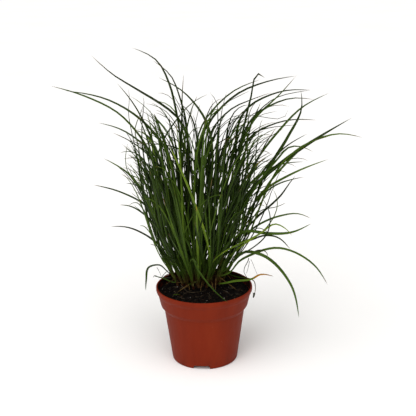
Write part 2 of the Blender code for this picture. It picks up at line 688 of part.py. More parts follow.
def foot_on_soil(shoot, soil_tree):
    """How far up the shoot its sheath starts, so that its foot stands on the soil."""
    across = unit(np.cross(shoot["way"], [0.0, 1.0, 0.0]))
    along = np.cross(shoot["way"], across)
    most = 0.0
    for turn in np.linspace(0.0, 2 * math.pi, FOOT_CHECK_STEPS):
        edge = shoot["foot"] + SHEATH_FOOT_R * (across * math.cos(turn) + along * math.sin(turn))
        above = Vector((edge[0] * MM, edge[1] * MM, 1.0))
        hit = soil_tree.ray_cast(above, Vector((0.0, 0.0, -1.0)))[0]
        most = max(most, hit.z / MM - edge[2])
    return most + TOUCH_GAP


def add_sheath(bm, shoot, start):
    """The rolled sheath as a four-sided tapered stem."""
    bottom = Vector(shoot["foot"] + shoot["way"] * start) * MM
    top = Vector(shoot["foot"] + shoot["way"] * shoot["length"]) * MM
    upright = (top - bottom).to_track_quat("Z", "Y").to_matrix().to_4x4()
    place = Matrix.Translation((bottom + top) / 2) @ upright
    taper = {"radius1": SHEATH_FOOT_R * MM, "radius2": SHEATH_TOP_R * MM}
    height = (top - bottom).length
    bmesh.ops.create_cone(bm, cap_ends=True, segments=SHEATH_SIDES, depth=height, matrix=place, **taper)


def make_shoot(number, shoot, soil_tree, group, cutters, finish):
    """One shoot: its sheath and its leaves joined in one solid.

    The leaves are thin and some lie almost along the sheath, where an exact union leaves open slivers,
    so the manifold solver joins them.
    """
    bm = bmesh.new()
    add_sheath(bm, shoot, foot_on_soil(shoot, soil_tree))
    name = f"shoot_{number + 1:02d}"
    made = new_object(name, mesh_from(name, bm), group, finish)
    for leaf in shoot["leaves"]:
        blade = new_object("blade", blade_mesh(leaf["path"], leaf["width"], leaf["twist"]), cutters)
        hide_cutter(blade)
        join = made.modifiers.new("Join leaf", "BOOLEAN")
        join.operation = "UNION"
        join.solver = "MANIFOLD"
        join.object = blade
    return made


def make_short_blade(soil_tree, group, finish):
    """A single short green blade that stands on its own near the front left of the pot."""
    x, y = SHORT_BLADE_FOOT
    ground = soil_tree.ray_cast(Vector((x * MM, y * MM, 1.0)), Vector((0.0, 0.0, -1.0)))[0].z / MM
    start = np.array([x, y, ground + SHORT_BLADE_LIFT])
    tip = np.array([*SHORT_BLADE_TIP, start[2] + SHORT_BLADE_RISE])
    path = smooth_path([start, tip], unit(np.array(SHORT_BLADE_WAY)), None, SHORT_BLADE_RINGS)
    blade = blade_mesh(path, SHORT_BLADE_WIDTH, SHORT_BLADE_TWIST)
    return new_object("short_blade", blade, group, finish)


def terracotta_plastic():
    return material("terracotta_plastic", (0.216, 0.025, 0.012), 0.42)


def peat():
    return material("peat", (0.012, 0.009, 0.007), 0.95)


def grass_leaf():
    return material("grass_leaf", (0.030, 0.075, 0.012), 0.5)


def main():
    clear_scene()
    plant = collection("potted_grass_clump")
    cutters = collection("cutters")
    leaf = grass_leaf()
    make_pot(plant, cutters, terracotta_plastic())
    soil = make_soil(plant, peat())
    tree = BVHTree.FromPolygons(
        [v.co for v in soil.data.vertices], [list(p.vertices) for p in soil.data.polygons]
    )
    for number, shoot in enumerate(grow_clump()):
        make_shoot(number, shoot, tree, plant, cutters, leaf)
    make_short_blade(tree, plant, leaf)


main()
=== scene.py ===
"""Looks of a potted ornamental grass clump: camera and light, the nursery pot, the soil, the grass.

Everything is in metres in the frame's own axes: +Z up, -Y towards the front of the clump. The
plant's own sizes are in millimetres and are scaled once, where a mesh is made.
"""
import math

import bmesh
import bpy
import numpy as np
from mathutils import Matrix, Vector, noise


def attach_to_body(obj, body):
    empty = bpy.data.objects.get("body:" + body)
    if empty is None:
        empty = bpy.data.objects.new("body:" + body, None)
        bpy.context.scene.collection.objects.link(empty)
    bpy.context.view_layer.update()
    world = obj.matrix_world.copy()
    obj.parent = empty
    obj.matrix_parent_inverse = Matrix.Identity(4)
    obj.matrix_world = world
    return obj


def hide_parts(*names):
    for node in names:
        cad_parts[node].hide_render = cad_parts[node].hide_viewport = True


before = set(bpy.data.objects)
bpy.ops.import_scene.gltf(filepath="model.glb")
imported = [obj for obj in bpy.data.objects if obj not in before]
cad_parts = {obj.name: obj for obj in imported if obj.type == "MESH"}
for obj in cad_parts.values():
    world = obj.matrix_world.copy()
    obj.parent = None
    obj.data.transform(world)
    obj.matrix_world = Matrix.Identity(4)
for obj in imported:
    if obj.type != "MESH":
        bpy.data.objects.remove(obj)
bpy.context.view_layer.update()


# The floor and the studio: a pale matt sheet under one very wide soft light above and in front, a
# weak one at the front left, and a pale surround. The camera stands where the photo was taken.
MM = 0.001
CAMERA_PLACE = (0.006, -1.0, 0.496)
CAMERA_PITCH = 0.291
CAMERA_ROLL = -0.012
CAMERA_LENS = 74.06
FLOOR_SIZE = 100.0
FLOOR_DROP = 0.0002
SURROUND_STRENGTH = 0.32
OVERHEAD_STRENGTH = 2.95
OVERHEAD_WIDTH = math.radians(80.0)
OVERHEAD_TURN = (math.radians(30.0), math.radians(-8.0), 0.0)
FRONT_LEFT_PLACE = (-0.9, -1.7, 1.2)
FRONT_LEFT_TARGET = (0.0, 0.0, 0.15)
FRONT_LEFT_SIZE = 1.0
FRONT_LEFT_POWER = 5.0


def rgb(hex_colour):
    """An sRGB hex colour as the linear colour that shaders take."""
    channels = [int(hex_colour[i:i + 2], 16) / 255 for i in (1, 3, 5)]
    return [c / 12.92 if c <= 0.04045 else ((c + 0.055) / 1.055) ** 2.4 for c in channels] + [1.0]


def new_finish(name):
    """A new material, its node tree, its surface shader and the place on the object in metres."""
    finish = bpy.data.materials.new(name)
    finish.use_nodes = True
    tree = finish.node_tree
    return finish, tree, tree.nodes["Principled BSDF"], node(tree, "TexCoord", {}, out=3)


def fill(tree, node, inputs):
    """Links each input that is given a socket, and sets each one that is given a value."""
    for key, value in inputs.items():
        if isinstance(value, bpy.types.NodeSocket):
            tree.links.new(value, node.inputs[key])
        else:
            node.inputs[key].default_value = value


def node(tree, kind, inputs, stops=(), out=0, **settings):
    """Adds a node with its settings, inputs and colour stops (place, hex colour), and gives an output."""
    added = tree.nodes.new("ShaderNode" + kind)
    for key, value in settings.items():
        setattr(added, key, value)
    fill(tree, added, inputs)
    for i, (place, colour) in enumerate(stops):
        bands = added.color_ramp.elements
        band = bands[i] if i < len(bands) else bands.new(place)
        band.position = place
        band.color = rgb(colour)
    return added.outputs[out]


def matt_floor_paint():
    """Matt paper-white paint: it shows only the soft shadow of the pot."""
    finish, tree, shader, place = new_finish("matt_floor_paint")
    cloud = node(tree, "TexNoise", {"Vector": place, "Scale": 3.0, "Detail": 3.0})
    colour = node(tree, "ValToRGB", {"Fac": cloud}, stops=((0.3, "#f8f7f6"), (0.7, "#fcfbfa")))
    fill(tree, shader, {"Base Color": colour, "Roughness": 0.9, "IOR": 1.3})
    return finish


def link(piece):
    bpy.context.scene.collection.objects.link(piece)
    return piece


def new_piece(name, bm, finish):
    """A piece in the scene with this mesh and finish."""
    mesh = bpy.data.meshes.new(name)
    bm.to_mesh(mesh)
    bm.free()
    mesh.materials.append(finish)
    return link(bpy.data.objects.new(name, mesh))


def make_floor():
    bm = bmesh.new()
    bmesh.ops.create_grid(bm, x_segments=2, y_segments=2, size=FLOOR_SIZE / 2)
    bmesh.ops.translate(bm, verts=bm.verts, vec=(0.0, 0.0, -FLOOR_DROP))
    new_piece("floor", bm, matt_floor_paint())


def soft_light(name, kind, strength):
    lamp = bpy.data.lights.new(name, kind)
    lamp.energy = strength
    return lamp, link(bpy.data.objects.new(name, lamp))


def make_studio():
    scene = bpy.context.scene
    scene.view_settings.view_transform = "Standard"
    scene.world = bpy.data.worlds.new("surround")
    scene.world.use_nodes = True
    tree = scene.world.node_tree
    fill(tree, tree.nodes["Background"], {"Color": rgb("#faf8f4"), "Strength": SURROUND_STRENGTH})
    overhead, holder = soft_light("overhead_softbox", "SUN", OVERHEAD_STRENGTH)
    overhead.angle = OVERHEAD_WIDTH
    holder.rotation_euler = OVERHEAD_TURN
    front_left, holder = soft_light("front_left_light", "AREA", FRONT_LEFT_POWER)
    front_left.size = FRONT_LEFT_SIZE
    holder.location = FRONT_LEFT_PLACE
    way = Vector(FRONT_LEFT_TARGET) - Vector(FRONT_LEFT_PLACE)
    holder.rotation_euler = way.to_track_quat("-Z", "Y").to_euler()


def make_camera():
    lens = bpy.data.cameras.new("camera")
    lens.lens = CAMERA_LENS
    lens.sensor_width = 36.0
    camera = link(bpy.data.objects.new("camera", lens))
    look = Matrix.Rotation(math.pi / 2 - CAMERA_PITCH, 4, "X") @ Matrix.Rotation(CAMERA_ROLL, 4, "Z")
    camera.matrix_world = Matrix.Translation(CAMERA_PLACE) @ look
    bpy.context.scene.camera = camera


make_floor()
make_studio()
make_camera()


# The pot: a thin-walled round nursery pot, injection moulded in terracotta-coloured
# polypropylene, with an out-turned lip, a straight collar, a tapered body and a notched foot.
POT_LIP_R = 60.2
POT_HEIGHT = 96.0
POT_WALL = 1.3
LIP_WIDTH = 2.0
LIP_LOW_Z = 91.5
LIP_UNDERCUT = (1.2, 2.8)
LIP_DRAFT = 0.5
INNER_STEP = 0.5
COLLAR_TOP_R = 57.7
COLLAR_TOP_Z = 86.4
COLLAR_LOW_R = 54.6
COLLAR_LOW_Z = 72.6
BODY_TOP_R = 50.4
BODY_TOP_Z = 67.0
FOOT_R = 41.0
FOOT_EDGE = 0.9
FOOT_ROUND = (0.3, 0.5)
FOOT_RING_WIDTH = 2.2
BASE_LOW_Z = 5.0
BASE_TOP_Z = 6.4
NOTCH_COUNT = 3
NOTCH_HEIGHT = 4.7
NOTCH_TOP_WIDTH = 18.0
NOTCH_LOW_WIDTH = 23.6
NOTCH_CUT_DEPTH = 12.0
NOTCH_CUT_LOW_Z = -2.0
FIRST_NOTCH_TURN = -96.0
DRAIN_COUNT = 4
DRAIN_R = 4.0
DRAIN_CIRCLE_R = 27.0
DRAIN_TURN = 30.0
DRAIN_CUT_LENGTH = 10.0
DRAIN_SIDES = 32
POT_TURN_STEPS = 144
CORNER_ROUND = 0.8
CORNER_STEPS = 4
CORNER_MOST = 0.42
POT_EDGE_ANGLE = 40.0


def moulded_terracotta_plastic():
    """Injection-moulded polypropylene: an even dull red with a soft gloss, faint flow marks from the
    mould, fine scuffs on the outside, a few pale specks, and dried peat smeared round the foot."""
    finish, tree, shader, place = new_finish("moulded_terracotta_plastic")
    # flow marks about 17 mm apart round the pot and 70 mm long down it
    flow_place = node(tree, "Mapping", {"Vector": place, "Scale": (60.0, 60.0, 14.0)})
    flow = node(tree, "TexNoise", {"Vector": flow_place, "Scale": 1.0, "Detail": 3.0})
    reds = ((0.3, "#6d200b"), (0.55, "#74230c"), (0.8, "#79270e"))
    plain = node(tree, "ValToRGB", {"Fac": flow}, stops=reds)
    # specks under a millimetre wide, in a few places only
    cells = node(tree, "TexVoronoi", {"Vector": place, "Scale": 240.0})
    specks = node(tree, "MapRange", {"Value": cells, "From Min": 0.10, "From Max": 0.03})
    patches = node(tree, "TexNoise", {"Vector": place, "Scale": 55.0, "Detail": 1.0})
    few = node(tree, "MapRange", {"Value": patches, "From Min": 0.6, "From Max": 0.68, "To Max": 0.5})
    spots = node(tree, "Math", {0: specks, 1: few}, operation="MULTIPLY")
    speckled = node(tree, "Mix", {0: spots, 6: plain, 7: rgb("#c98a78")}, out=2, data_type="RGBA")
    # peat dried on to the lowest 16 mm
    height = node(tree, "SeparateXYZ", {"Vector": place}, out=2)
    low = node(tree, "MapRange", {"Value": height, "From Min": 0.016, "From Max": 0.0, "To Max": 0.6})
    smears = node(tree, "TexNoise", {"Vector": place, "Scale": 90.0, "Detail": 5.0, "Roughness": 0.7})
    smeared = node(tree, "MapRange", {"Value": smears, "From Min": 0.5, "From Max": 0.75})
    dust = node(tree, "Math", {0: low, 1: smeared}, operation="MULTIPLY")
    colour = node(tree, "Mix", {0: dust, 6: speckled, 7: rgb("#3a2018")}, out=2, data_type="RGBA")
    # peat smeared on the inner wall down to the soil, mixed at least half way to near-black: partly real
    # peat, partly painted shade of the wall's shadow
    level = node(tree, "VectorMath", {0: place, 1: (1.0, 1.0, 0.0)}, operation="MULTIPLY")
    out = node(tree, "VectorMath", {0: level}, out=1, operation="LENGTH")
    inner = node(tree, "MapRange", {"Value": out, "From Min": 0.0585, "From Max": 0.0581})
    peat_and_painted_shade = node(tree, "MapRange", {"Value": smears, "From Min": 0.28, "From Max": 0.5, "To Min": 0.55})
    peat_and_painted_shade = node(tree, "Math", {0: inner, 1: peat_and_painted_shade}, operation="MULTIPLY")
    above = node(tree, "Math", {0: height, 1: 0.0882}, operation="GREATER_THAN")
    peat_and_painted_shade = node(tree, "Math", {0: peat_and_painted_shade, 1: above}, operation="MULTIPLY")
    colour = node(tree, "Mix", {0: peat_and_painted_shade, 6: colour, 7: rgb("#150a06")}, out=2, data_type="RGBA")
    # upright scuffs 2.5 mm wide and 17 mm long change the gloss
    scuff_place = node(tree, "Mapping", {"Vector": place, "Scale": (400.0, 400.0, 60.0)})
    scuffs = node(tree, "TexNoise", {"Vector": scuff_place, "Scale": 1.0, "Detail": 4.0})
    glosses = {"From Min": 0.3, "From Max": 0.7, "To Min": 0.5, "To Max": 0.62}
    gloss = node(tree, "MapRange", {"Value": scuffs, **glosses})
    grain = node(tree, "TexNoise", {"Vector": place, "Scale": 1400.0, "Detail": 2.0})
    waves = node(tree, "TexNoise", {"Vector": place, "Scale": 28.0, "Detail": 2.0})
    relief = node(tree, "Math", {0: grain, 1: waves}, operation="ADD")
    bump = node(tree, "Bump", {"Height": relief, "Strength": 0.12, "Distance": 0.0004})
    fill(tree, shader, {"Base Color": colour, "Roughness": gloss, "Normal": bump})
    fill(tree, shader, {"IOR": 1.49, "Specular IOR Level": 0.08})
    return finish


def rounded(outline, radius):
    """A profile with each inner corner replaced by a small arc."""
    points = [Vector(outline[0])]
    for before, corner, after in zip(outline, outline[1:], outline[2:]):
        corner = Vector(corner)
        back = Vector(before) - corner
        ahead = Vector(after) - corner
        trim = min(radius, back.length * CORNER_MOST, ahead.length * CORNER_MOST)
        start = corner + back.normalized() * trim
        end = corner + ahead.normalized() * trim
        for i in range(CORNER_STEPS + 1):
            t = i / CORNER_STEPS
            points.append(start * (1 - t) ** 2 + corner * 2 * t * (1 - t) + end * t**2)
    return points + [Vector(outline[-1])]


def body_radius(z):
    """Outer radius of the tapered body at a height."""
    foot = FOOT_R + FOOT_EDGE * FOOT_ROUND[0]
    return foot + (BODY_TOP_R - foot) * (z - FOOT_EDGE) / (BODY_TOP_Z - FOOT_EDGE)


def pot_outline():
    """The pot's section: from the axis out over the base, up inside, over the lip and down outside."""
    return [
        (0.0, BASE_TOP_Z),
        (body_radius(BASE_TOP_Z) - POT_WALL, BASE_TOP_Z),
        (BODY_TOP_R - POT_WALL, BODY_TOP_Z + INNER_STEP),
        (COLLAR_LOW_R - POT_WALL, COLLAR_LOW_Z + INNER_STEP),
        (COLLAR_TOP_R - POT_WALL, COLLAR_TOP_Z),
        (POT_LIP_R - LIP_WIDTH - LIP_DRAFT, LIP_LOW_Z),
        (POT_LIP_R - LIP_WIDTH, POT_HEIGHT),
        (POT_LIP_R, POT_HEIGHT),
        (POT_LIP_R, LIP_LOW_Z),
        (POT_LIP_R - LIP_UNDERCUT[0], LIP_LOW_Z - LIP_UNDERCUT[1]),
        (COLLAR_TOP_R, COLLAR_TOP_Z),
        (COLLAR_LOW_R, COLLAR_LOW_Z),
        (BODY_TOP_R, BODY_TOP_Z),
        (body_radius(FOOT_EDGE), FOOT_EDGE),
        (FOOT_R - FOOT_EDGE * FOOT_ROUND[1], 0.0),
        (FOOT_R - FOOT_RING_WIDTH, 0.0),
        (FOOT_R - FOOT_RING_WIDTH, BASE_LOW_Z),
        (0.0, BASE_LOW_Z),
    ]


def spun(outline, steps):
    """A closed turned mesh from a section that starts and ends on the axis."""
    bm = bmesh.new()
    points = [bm.verts.new((p[0] * MM, 0.0, p[1] * MM)) for p in outline]
    edges = [bm.edges.new(pair) for pair in zip(points, points[1:])]
    full_turn = {"cent": (0, 0, 0), "axis": (0, 0, 1), "angle": 2 * math.pi, "steps": steps}
    bmesh.ops.spin(bm, geom=points + edges, use_merge=True, **full_turn)
    bmesh.ops.remove_doubles(bm, verts=bm.verts, dist=1e-6)
    bmesh.ops.recalc_face_normals(bm, faces=bm.faces)
    return bm


def notch_and_drain_cutter(finish):
    """The wedges that notch the foot ring and the pins that leave the drain holes, in one mesh."""
    bm = bmesh.new()
    high = NOTCH_HEIGHT - NOTCH_CUT_LOW_Z
    middle = Matrix.Translation((FOOT_R * MM, 0.0, (NOTCH_CUT_LOW_Z + high / 2) * MM))
    block = middle @ Matrix.Diagonal((NOTCH_CUT_DEPTH * MM, 1.0, high * MM, 1.0))
    for index in range(NOTCH_COUNT):
        turn = Matrix.Rotation(math.radians(FIRST_NOTCH_TURN + 360.0 * index / NOTCH_COUNT), 4, "Z")
        wedge = bmesh.ops.create_cube(bm, size=1.0, matrix=block)["verts"]
        for vert in wedge:
            width = NOTCH_TOP_WIDTH if vert.co.z > 0.0 else NOTCH_LOW_WIDTH
            vert.co.y = math.copysign(width / 2 * MM, vert.co.y)
        bmesh.ops.transform(bm, matrix=turn, verts=wedge)
    pin = {"radius1": DRAIN_R * MM, "radius2": DRAIN_R * MM, "depth": DRAIN_CUT_LENGTH * MM}
    for index in range(DRAIN_COUNT):
        turn = math.radians(FIRST_NOTCH_TURN + DRAIN_TURN + 360.0 * index / DRAIN_COUNT)
        place = Vector((DRAIN_CIRCLE_R * math.cos(turn), DRAIN_CIRCLE_R * math.sin(turn), BASE_LOW_Z))
        pin_place = Matrix.Translation(place * MM)
        bmesh.ops.create_cone(bm, cap_ends=True, segments=DRAIN_SIDES, matrix=pin_place, **pin)
    bmesh.ops.recalc_face_normals(bm, faces=bm.faces)
    return new_piece("cutter", bm, finish)


def with_cut(piece, cutter):
    """The piece with the cutter's shapes taken out, as one finished mesh."""
    cut = piece.modifiers.new("Cut", "BOOLEAN")
    cut.operation = "DIFFERENCE"
    cut.solver = "EXACT"
    cut.use_self = True
    cut.object = cutter
    graph = bpy.context.evaluated_depsgraph_get()
    finished = bpy.data.meshes.new_from_object(piece.evaluated_get(graph))
    piece.modifiers.clear()
    piece.data = finished
    bpy.data.objects.remove(cutter)


def smooth_by_angle(piece, degrees):
    piece.data.shade_smooth()
    piece.data.set_sharp_from_angle(angle=math.radians(degrees))


def attach(piece, slot, *solids):
    """Fixes a piece to the plant and hides the solids that it stands in for; its slot is not used."""
    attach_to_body(piece, "root")
    if solids:
        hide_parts(*solids)


def make_pot():
    finish = moulded_terracotta_plastic()
    bm = spun(rounded(pot_outline(), CORNER_ROUND), POT_TURN_STEPS)
    pot = new_piece("nursery_pot", bm, finish)
    with_cut(pot, notch_and_drain_cutter(finish))
    smooth_by_angle(pot, POT_EDGE_ANGLE)
    attach(pot, "pot", "pot")


make_pot()


# The soil: moist dark peat that fills the pot to a few millimetres under the lip and is mounded
# round the clump, with crumbs, a few pale grains, dead roots and shreds of leaf lying on it.
SOIL_EDGE_Z = 88.5
SOIL_MOUND = 3.2
SOIL_MOUND_WIDTH = 34.0
RIPPLE_HEIGHT = 0.5
RIPPLE_TURN = (0.19, 0.23)
RIPPLE_SHIFT = (0.4, -0.7)
CLUMP_X = -7.0
CLUMP_Y = 22.0
CLUMP_HALF_WIDTH = 30.0
CLUMP_HALF_DEPTH = 22.0
SOIL_GRID = 120
SOIL_GAP = 0.1
SOIL_STEP_LIFT = 0.8
SOIL_EDGE_ANGLE = 80.0

# The roughness of the peat, as width, level in the noise, and height
SOIL_DROP = 0.6
LUMPS = (11.0, 3.1, 1.1)
CRUMBS = (3.6, 7.7, 0.8)
GRAINS = (1.5, 1.3, 0.35)

# What lies on the peat: how many there are, their sizes and how flat they are
CRUMB_COUNT = 1500
CRUMB_SIZES = (0.9, 4.2)
CRUMB_FLATNESS = 0.7
PALE_GRAIN_COUNT = 90
PALE_GRAIN_SIZES = (0.5, 1.8)
PALE_GRAIN_FLATNESS = 0.8
LUMP_EDGE = 4.0
SMALL_ONES_POWER = 2.5
LUMP_SLIMNESS = (0.6, 1.0)
LUMP_TILT = 0.5
LUMP_RISE = 0.25
LUMP_DENT = 0.14
DENT_SHARES = Vector((1.0, 0.6, 0.4))

# Dead roots: two that are seen in the photo, as points (x, y, height over the peat), and short ones
LONG_ROOT = ((-30, 14, 1.0), (-26, 2, 1.5), (-22, -9, 1.8), (-17, -14, 1.5), (-8, -13, 1.6), (2, -7, 1.4))
SIDE_ROOT = ((22, -4, 1.0), (27, -9, 2.0), (31, -15, 1.4), (34, -22, 1.0))
ROOT_WIDTHS = (0.9, 0.7)
SHORT_ROOT_COUNT = 26
SHORT_ROOT_EDGE = 12.0
SHORT_ROOT_POINTS = (4, 8)
SHORT_ROOT_LIFT = (-0.3, 1.2)
SHORT_ROOT_BEND = 0.8
SHORT_ROOT_STEP = (2.0, 4.5)
SHORT_ROOT_END_EDGE = 6.0
SHORT_ROOT_WIDTH = (0.35, 0.8)
ROOT_LIFT = 0.4
STRAND_TAPER = 0.6
LITTER_SEED = 5


def soil_height(x, y):
    """Height of the soil's smooth surface: a level bed with a mound under the clump."""
    away = ((x - CLUMP_X) / SOIL_MOUND_WIDTH) ** 2 + ((y - CLUMP_Y) / SOIL_MOUND_WIDTH) ** 2
    wave = math.sin(RIPPLE_TURN[0] * x + RIPPLE_SHIFT[0]) * math.cos(RIPPLE_TURN[1] * y + RIPPLE_SHIFT[1])
    return SOIL_EDGE_Z + SOIL_MOUND * math.exp(-away) + RIPPLE_HEIGHT * wave


def bumps(x, y, width, level, height):
    """Height of soft bumps of this width."""
    return height * noise.noise(Vector((x / width, y / width, level)))


def crumbly_height(x, y):
    """The soil's real surface: lumps of a centimetre, crumbs of three millimetres and grains of one."""
    rough = bumps(x, y, *LUMPS) + abs(bumps(x, y, *CRUMBS)) + bumps(x, y, *GRAINS)
    return soil_height(x, y) - SOIL_DROP + rough


def moist_peat(name, dark, middle, light):
    """Moist peat: nearly black and matt, with browner crumbs 2 to 4 mm wide and a rough grain."""
    finish, tree, shader, place = new_finish(name)
    crumbs = node(tree, "TexVoronoi", {"Vector": place, "Scale": 420.0}, out=1)
    crumb_tone = node(tree, "SeparateColor", {"Color": crumbs})
    cloud = node(tree, "TexNoise", {"Vector": place, "Scale": 260.0, "Detail": 6.0, "Roughness": 0.7})
    tone_and_painted_shade = node(tree, "Math", {0: crumb_tone, 1: cloud}, operation="MULTIPLY")
    colour = node(tree, "ValToRGB", {"Fac": tone_and_painted_shade}, stops=((0.05, dark), (0.35, middle), (0.62, light)))
    gloss = node(tree, "MapRange", {"Value": cloud, "From Min": 0.35, "From Max": 0.65, "To Min": 0.65})
    grit = node(tree, "TexNoise", {"Vector": place, "Scale": 900.0, "Detail": 5.0})
    bump = node(tree, "Bump", {"Height": grit, "Strength": 0.6, "Distance": 0.0008})
    fill(tree, shader, {"Base Color": colour, "Roughness": gloss, "Normal": bump})
    fill(tree, shader, {"IOR": 1.4, "Specular IOR Level": 0.12})
    return finish


def make_soil_bed():
    """A fine disc of soil with its rim pulled down the pot's inner wall to the base."""
    rim = COLLAR_TOP_R - POT_WALL - SOIL_GAP
    bm = bmesh.new()
    bmesh.ops.create_grid(bm, x_segments=SOIL_GRID, y_segments=SOIL_GRID, size=1.0)
    for vert in bm.verts:
        u, v = vert.co.x, vert.co.y
        x = rim * u * math.sqrt(1.0 - v * v / 2.0)
        y = rim * v * math.sqrt(1.0 - u * u / 2.0)
        vert.co = Vector((x, y, crumbly_height(x, y))) * MM
    lower = (
        (COLLAR_LOW_R - POT_WALL - SOIL_GAP, COLLAR_LOW_Z + SOIL_STEP_LIFT),
        (BODY_TOP_R - POT_WALL - SOIL_GAP, BODY_TOP_Z + SOIL_STEP_LIFT),
        (body_radius(BASE_TOP_Z) - POT_WALL - SOIL_GAP, BASE_TOP_Z + SOIL_GAP),
    )
    edge = [e for e in bm.edges if e.is_boundary]
    for radius, z in lower:
        grown = bmesh.ops.extrude_edge_only(bm, edges=edge)["geom"]
        edge = [part for part in grown if isinstance(part, bmesh.types.BMEdge)]
        edge = [part for part in edge if part.is_boundary]
        for vert in {v for e in edge for v in e.verts}:
            flat = Vector((vert.co.x, vert.co.y)).normalized() * radius * MM
            vert.co = (flat.x, flat.y, z * MM)
    bmesh.ops.contextual_create(bm, geom=edge)
    bmesh.ops.recalc_face_normals(bm, faces=bm.faces)
    bed = new_piece("soil_bed", bm, moist_peat("moist_peat", "#020101", "#080503", "#1d130c"))
    smooth_by_angle(bed, SOIL_EDGE_ANGLE)
    attach(bed, "soil", "soil")


def on_soil(rng, most_r):
    """A random place on the soil inside this radius."""
    turn = rng.uniform(0.0, 2.0 * math.pi)
    out = most_r * math.sqrt(rng.uniform(0.0, 1.0))
    x, y = out * math.cos(turn), out * math.sin(turn)
    return x, y, crumbly_height(x, y)


def scatter_lumps(name, rng, count, sizes, flatness, finish):
    """Many small rough lumps lying half sunk on the soil, as one mesh."""
    bm = bmesh.new()
    for _ in range(count):
        x, y, z = on_soil(rng, COLLAR_TOP_R - LUMP_EDGE)
        size = sizes[0] + (sizes[1] - sizes[0]) * rng.uniform(0.0, 1.0) ** SMALL_ONES_POWER
        sides = Vector((1.0, rng.uniform(*LUMP_SLIMNESS), flatness)) * size * MM
        tilt = Matrix.Rotation(rng.uniform(-LUMP_TILT, LUMP_TILT), 4, "X")
        turn = Matrix.Rotation(rng.uniform(0.0, 2.0 * math.pi), 4, "Z")
        place = Matrix.Translation(Vector((x, y, z + size * flatness * LUMP_RISE)) * MM)
        pose = place @ turn @ tilt @ Matrix.Diagonal((*sides, 1.0))
        for vert in bmesh.ops.create_icosphere(bm, subdivisions=1, radius=0.5, matrix=pose)["verts"]:
            vert.co += DENT_SHARES * rng.uniform(-LUMP_DENT, LUMP_DENT) * size * MM
    attach(new_piece(name, bm, finish), "soil")


def pale_grit():
    """Grains of perlite and grit: off-white and matt, stained by the peat."""
    finish, tree, shader, place = new_finish("pale_grit")
    stain = node(tree, "TexNoise", {"Vector": place, "Scale": 300.0, "Detail": 4.0})
    greys = ((0.35, "#3d352c"), (0.55, "#77716a"), (0.75, "#a8a49c"))
    colour = node(tree, "ValToRGB", {"Fac": stain}, stops=greys)
    fill(tree, shader, {"Base Color": colour, "Roughness": 0.85})
    return finish


def dead_fibre(name, dark, light):
    """Dead roots and shreds of leaf: dull and dark to light, with stains a few millimetres long."""
    finish, tree, shader, place = new_finish(name)
    stain = node(tree, "TexNoise", {"Vector": place, "Scale": 160.0, "Detail": 4.0})
    colour = node(tree, "ValToRGB", {"Fac": stain}, stops=((0.3, dark), (0.7, light)))
    fill(tree, shader, {"Base Color": colour, "Roughness": 0.8, "Specular IOR Level": 0.3})
    return finish


def strand(points, thickness):
    """A thin tube along a smooth line through these points, as a finished mesh."""
    curve = bpy.data.curves.new("strand", "CURVE")
    curve.dimensions = "3D"
    curve.bevel_depth = thickness / 2 * MM
    curve.bevel_resolution = 1
    curve.use_fill_caps = True
    curve.resolution_u = 5
    line = curve.splines.new("NURBS")
    line.points.add(len(points) - 1)
    for i, (point, p) in enumerate(zip(points, line.points)):
        p.co = (*(Vector(point) * MM), 1.0)
        p.radius = 1.0 - STRAND_TAPER * i / len(points)
    line.use_endpoint_u = True
    line.order_u = 4
    holder = link(bpy.data.objects.new("strand", curve))
    graph = bpy.context.evaluated_depsgraph_get()
    mesh = bpy.data.meshes.new_from_object(holder.evaluated_get(graph))
    bpy.data.objects.remove(holder)
    return mesh


def joined(name, meshes, finish, slot):
    """Several meshes as one piece, with the doubled points of tube caps merged."""
    bm = bmesh.new()
    for mesh in meshes:
        bm.from_mesh(mesh)
    bmesh.ops.remove_doubles(bm, verts=bm.verts, dist=1e-6)
    bmesh.ops.recalc_face_normals(bm, faces=bm.faces)
    piece = new_piece(name, bm, finish)
    piece.data.shade_smooth()
    attach(piece, slot)


def lying(points):
    """Points of a strand set on the soil."""
    return [(x, y, crumbly_height(x, y) + ROOT_LIFT + extra) for x, y, extra in points]


def short_root(rng):
    """A short dead root that wanders over the soil, or nothing where it meets the pot too soon."""
    x, y, _ = on_soil(rng, COLLAR_TOP_R - SHORT_ROOT_EDGE)
    heading = rng.uniform(0.0, 2.0 * math.pi)
    points = []
    for _ in range(int(rng.integers(*SHORT_ROOT_POINTS))):
        points.append((x, y, rng.uniform(*SHORT_ROOT_LIFT)))
        heading += rng.uniform(-SHORT_ROOT_BEND, SHORT_ROOT_BEND)
        step = rng.uniform(*SHORT_ROOT_STEP)
        x += step * math.cos(heading)
        y += step * math.sin(heading)
        if math.hypot(x, y) > COLLAR_TOP_R - SHORT_ROOT_END_EDGE:
            break
    return [strand(lying(points), rng.uniform(*SHORT_ROOT_WIDTH))] if len(points) > 3 else []


def make_soil_litter():
    rng = np.random.default_rng(LITTER_SEED)
    peat = moist_peat("peat_crumb", "#030201", "#0e0805", "#2a1b12")
    scatter_lumps("peat_crumbs", rng, CRUMB_COUNT, CRUMB_SIZES, CRUMB_FLATNESS, peat)
    scatter_lumps("pale_grains", rng, PALE_GRAIN_COUNT, PALE_GRAIN_SIZES, PALE_GRAIN_FLATNESS, pale_grit())
    roots = [strand(lying(route), width) for route, width in zip((LONG_ROOT, SIDE_ROOT), ROOT_WIDTHS)]
    for _ in range(SHORT_ROOT_COUNT):
        roots += short_root(rng)
    joined("dead_roots", roots, dead_fibre("dead_root_fibre", "#261c11", "#5c4e38"), "soil")


make_soil_bed()
make_soil_litter()


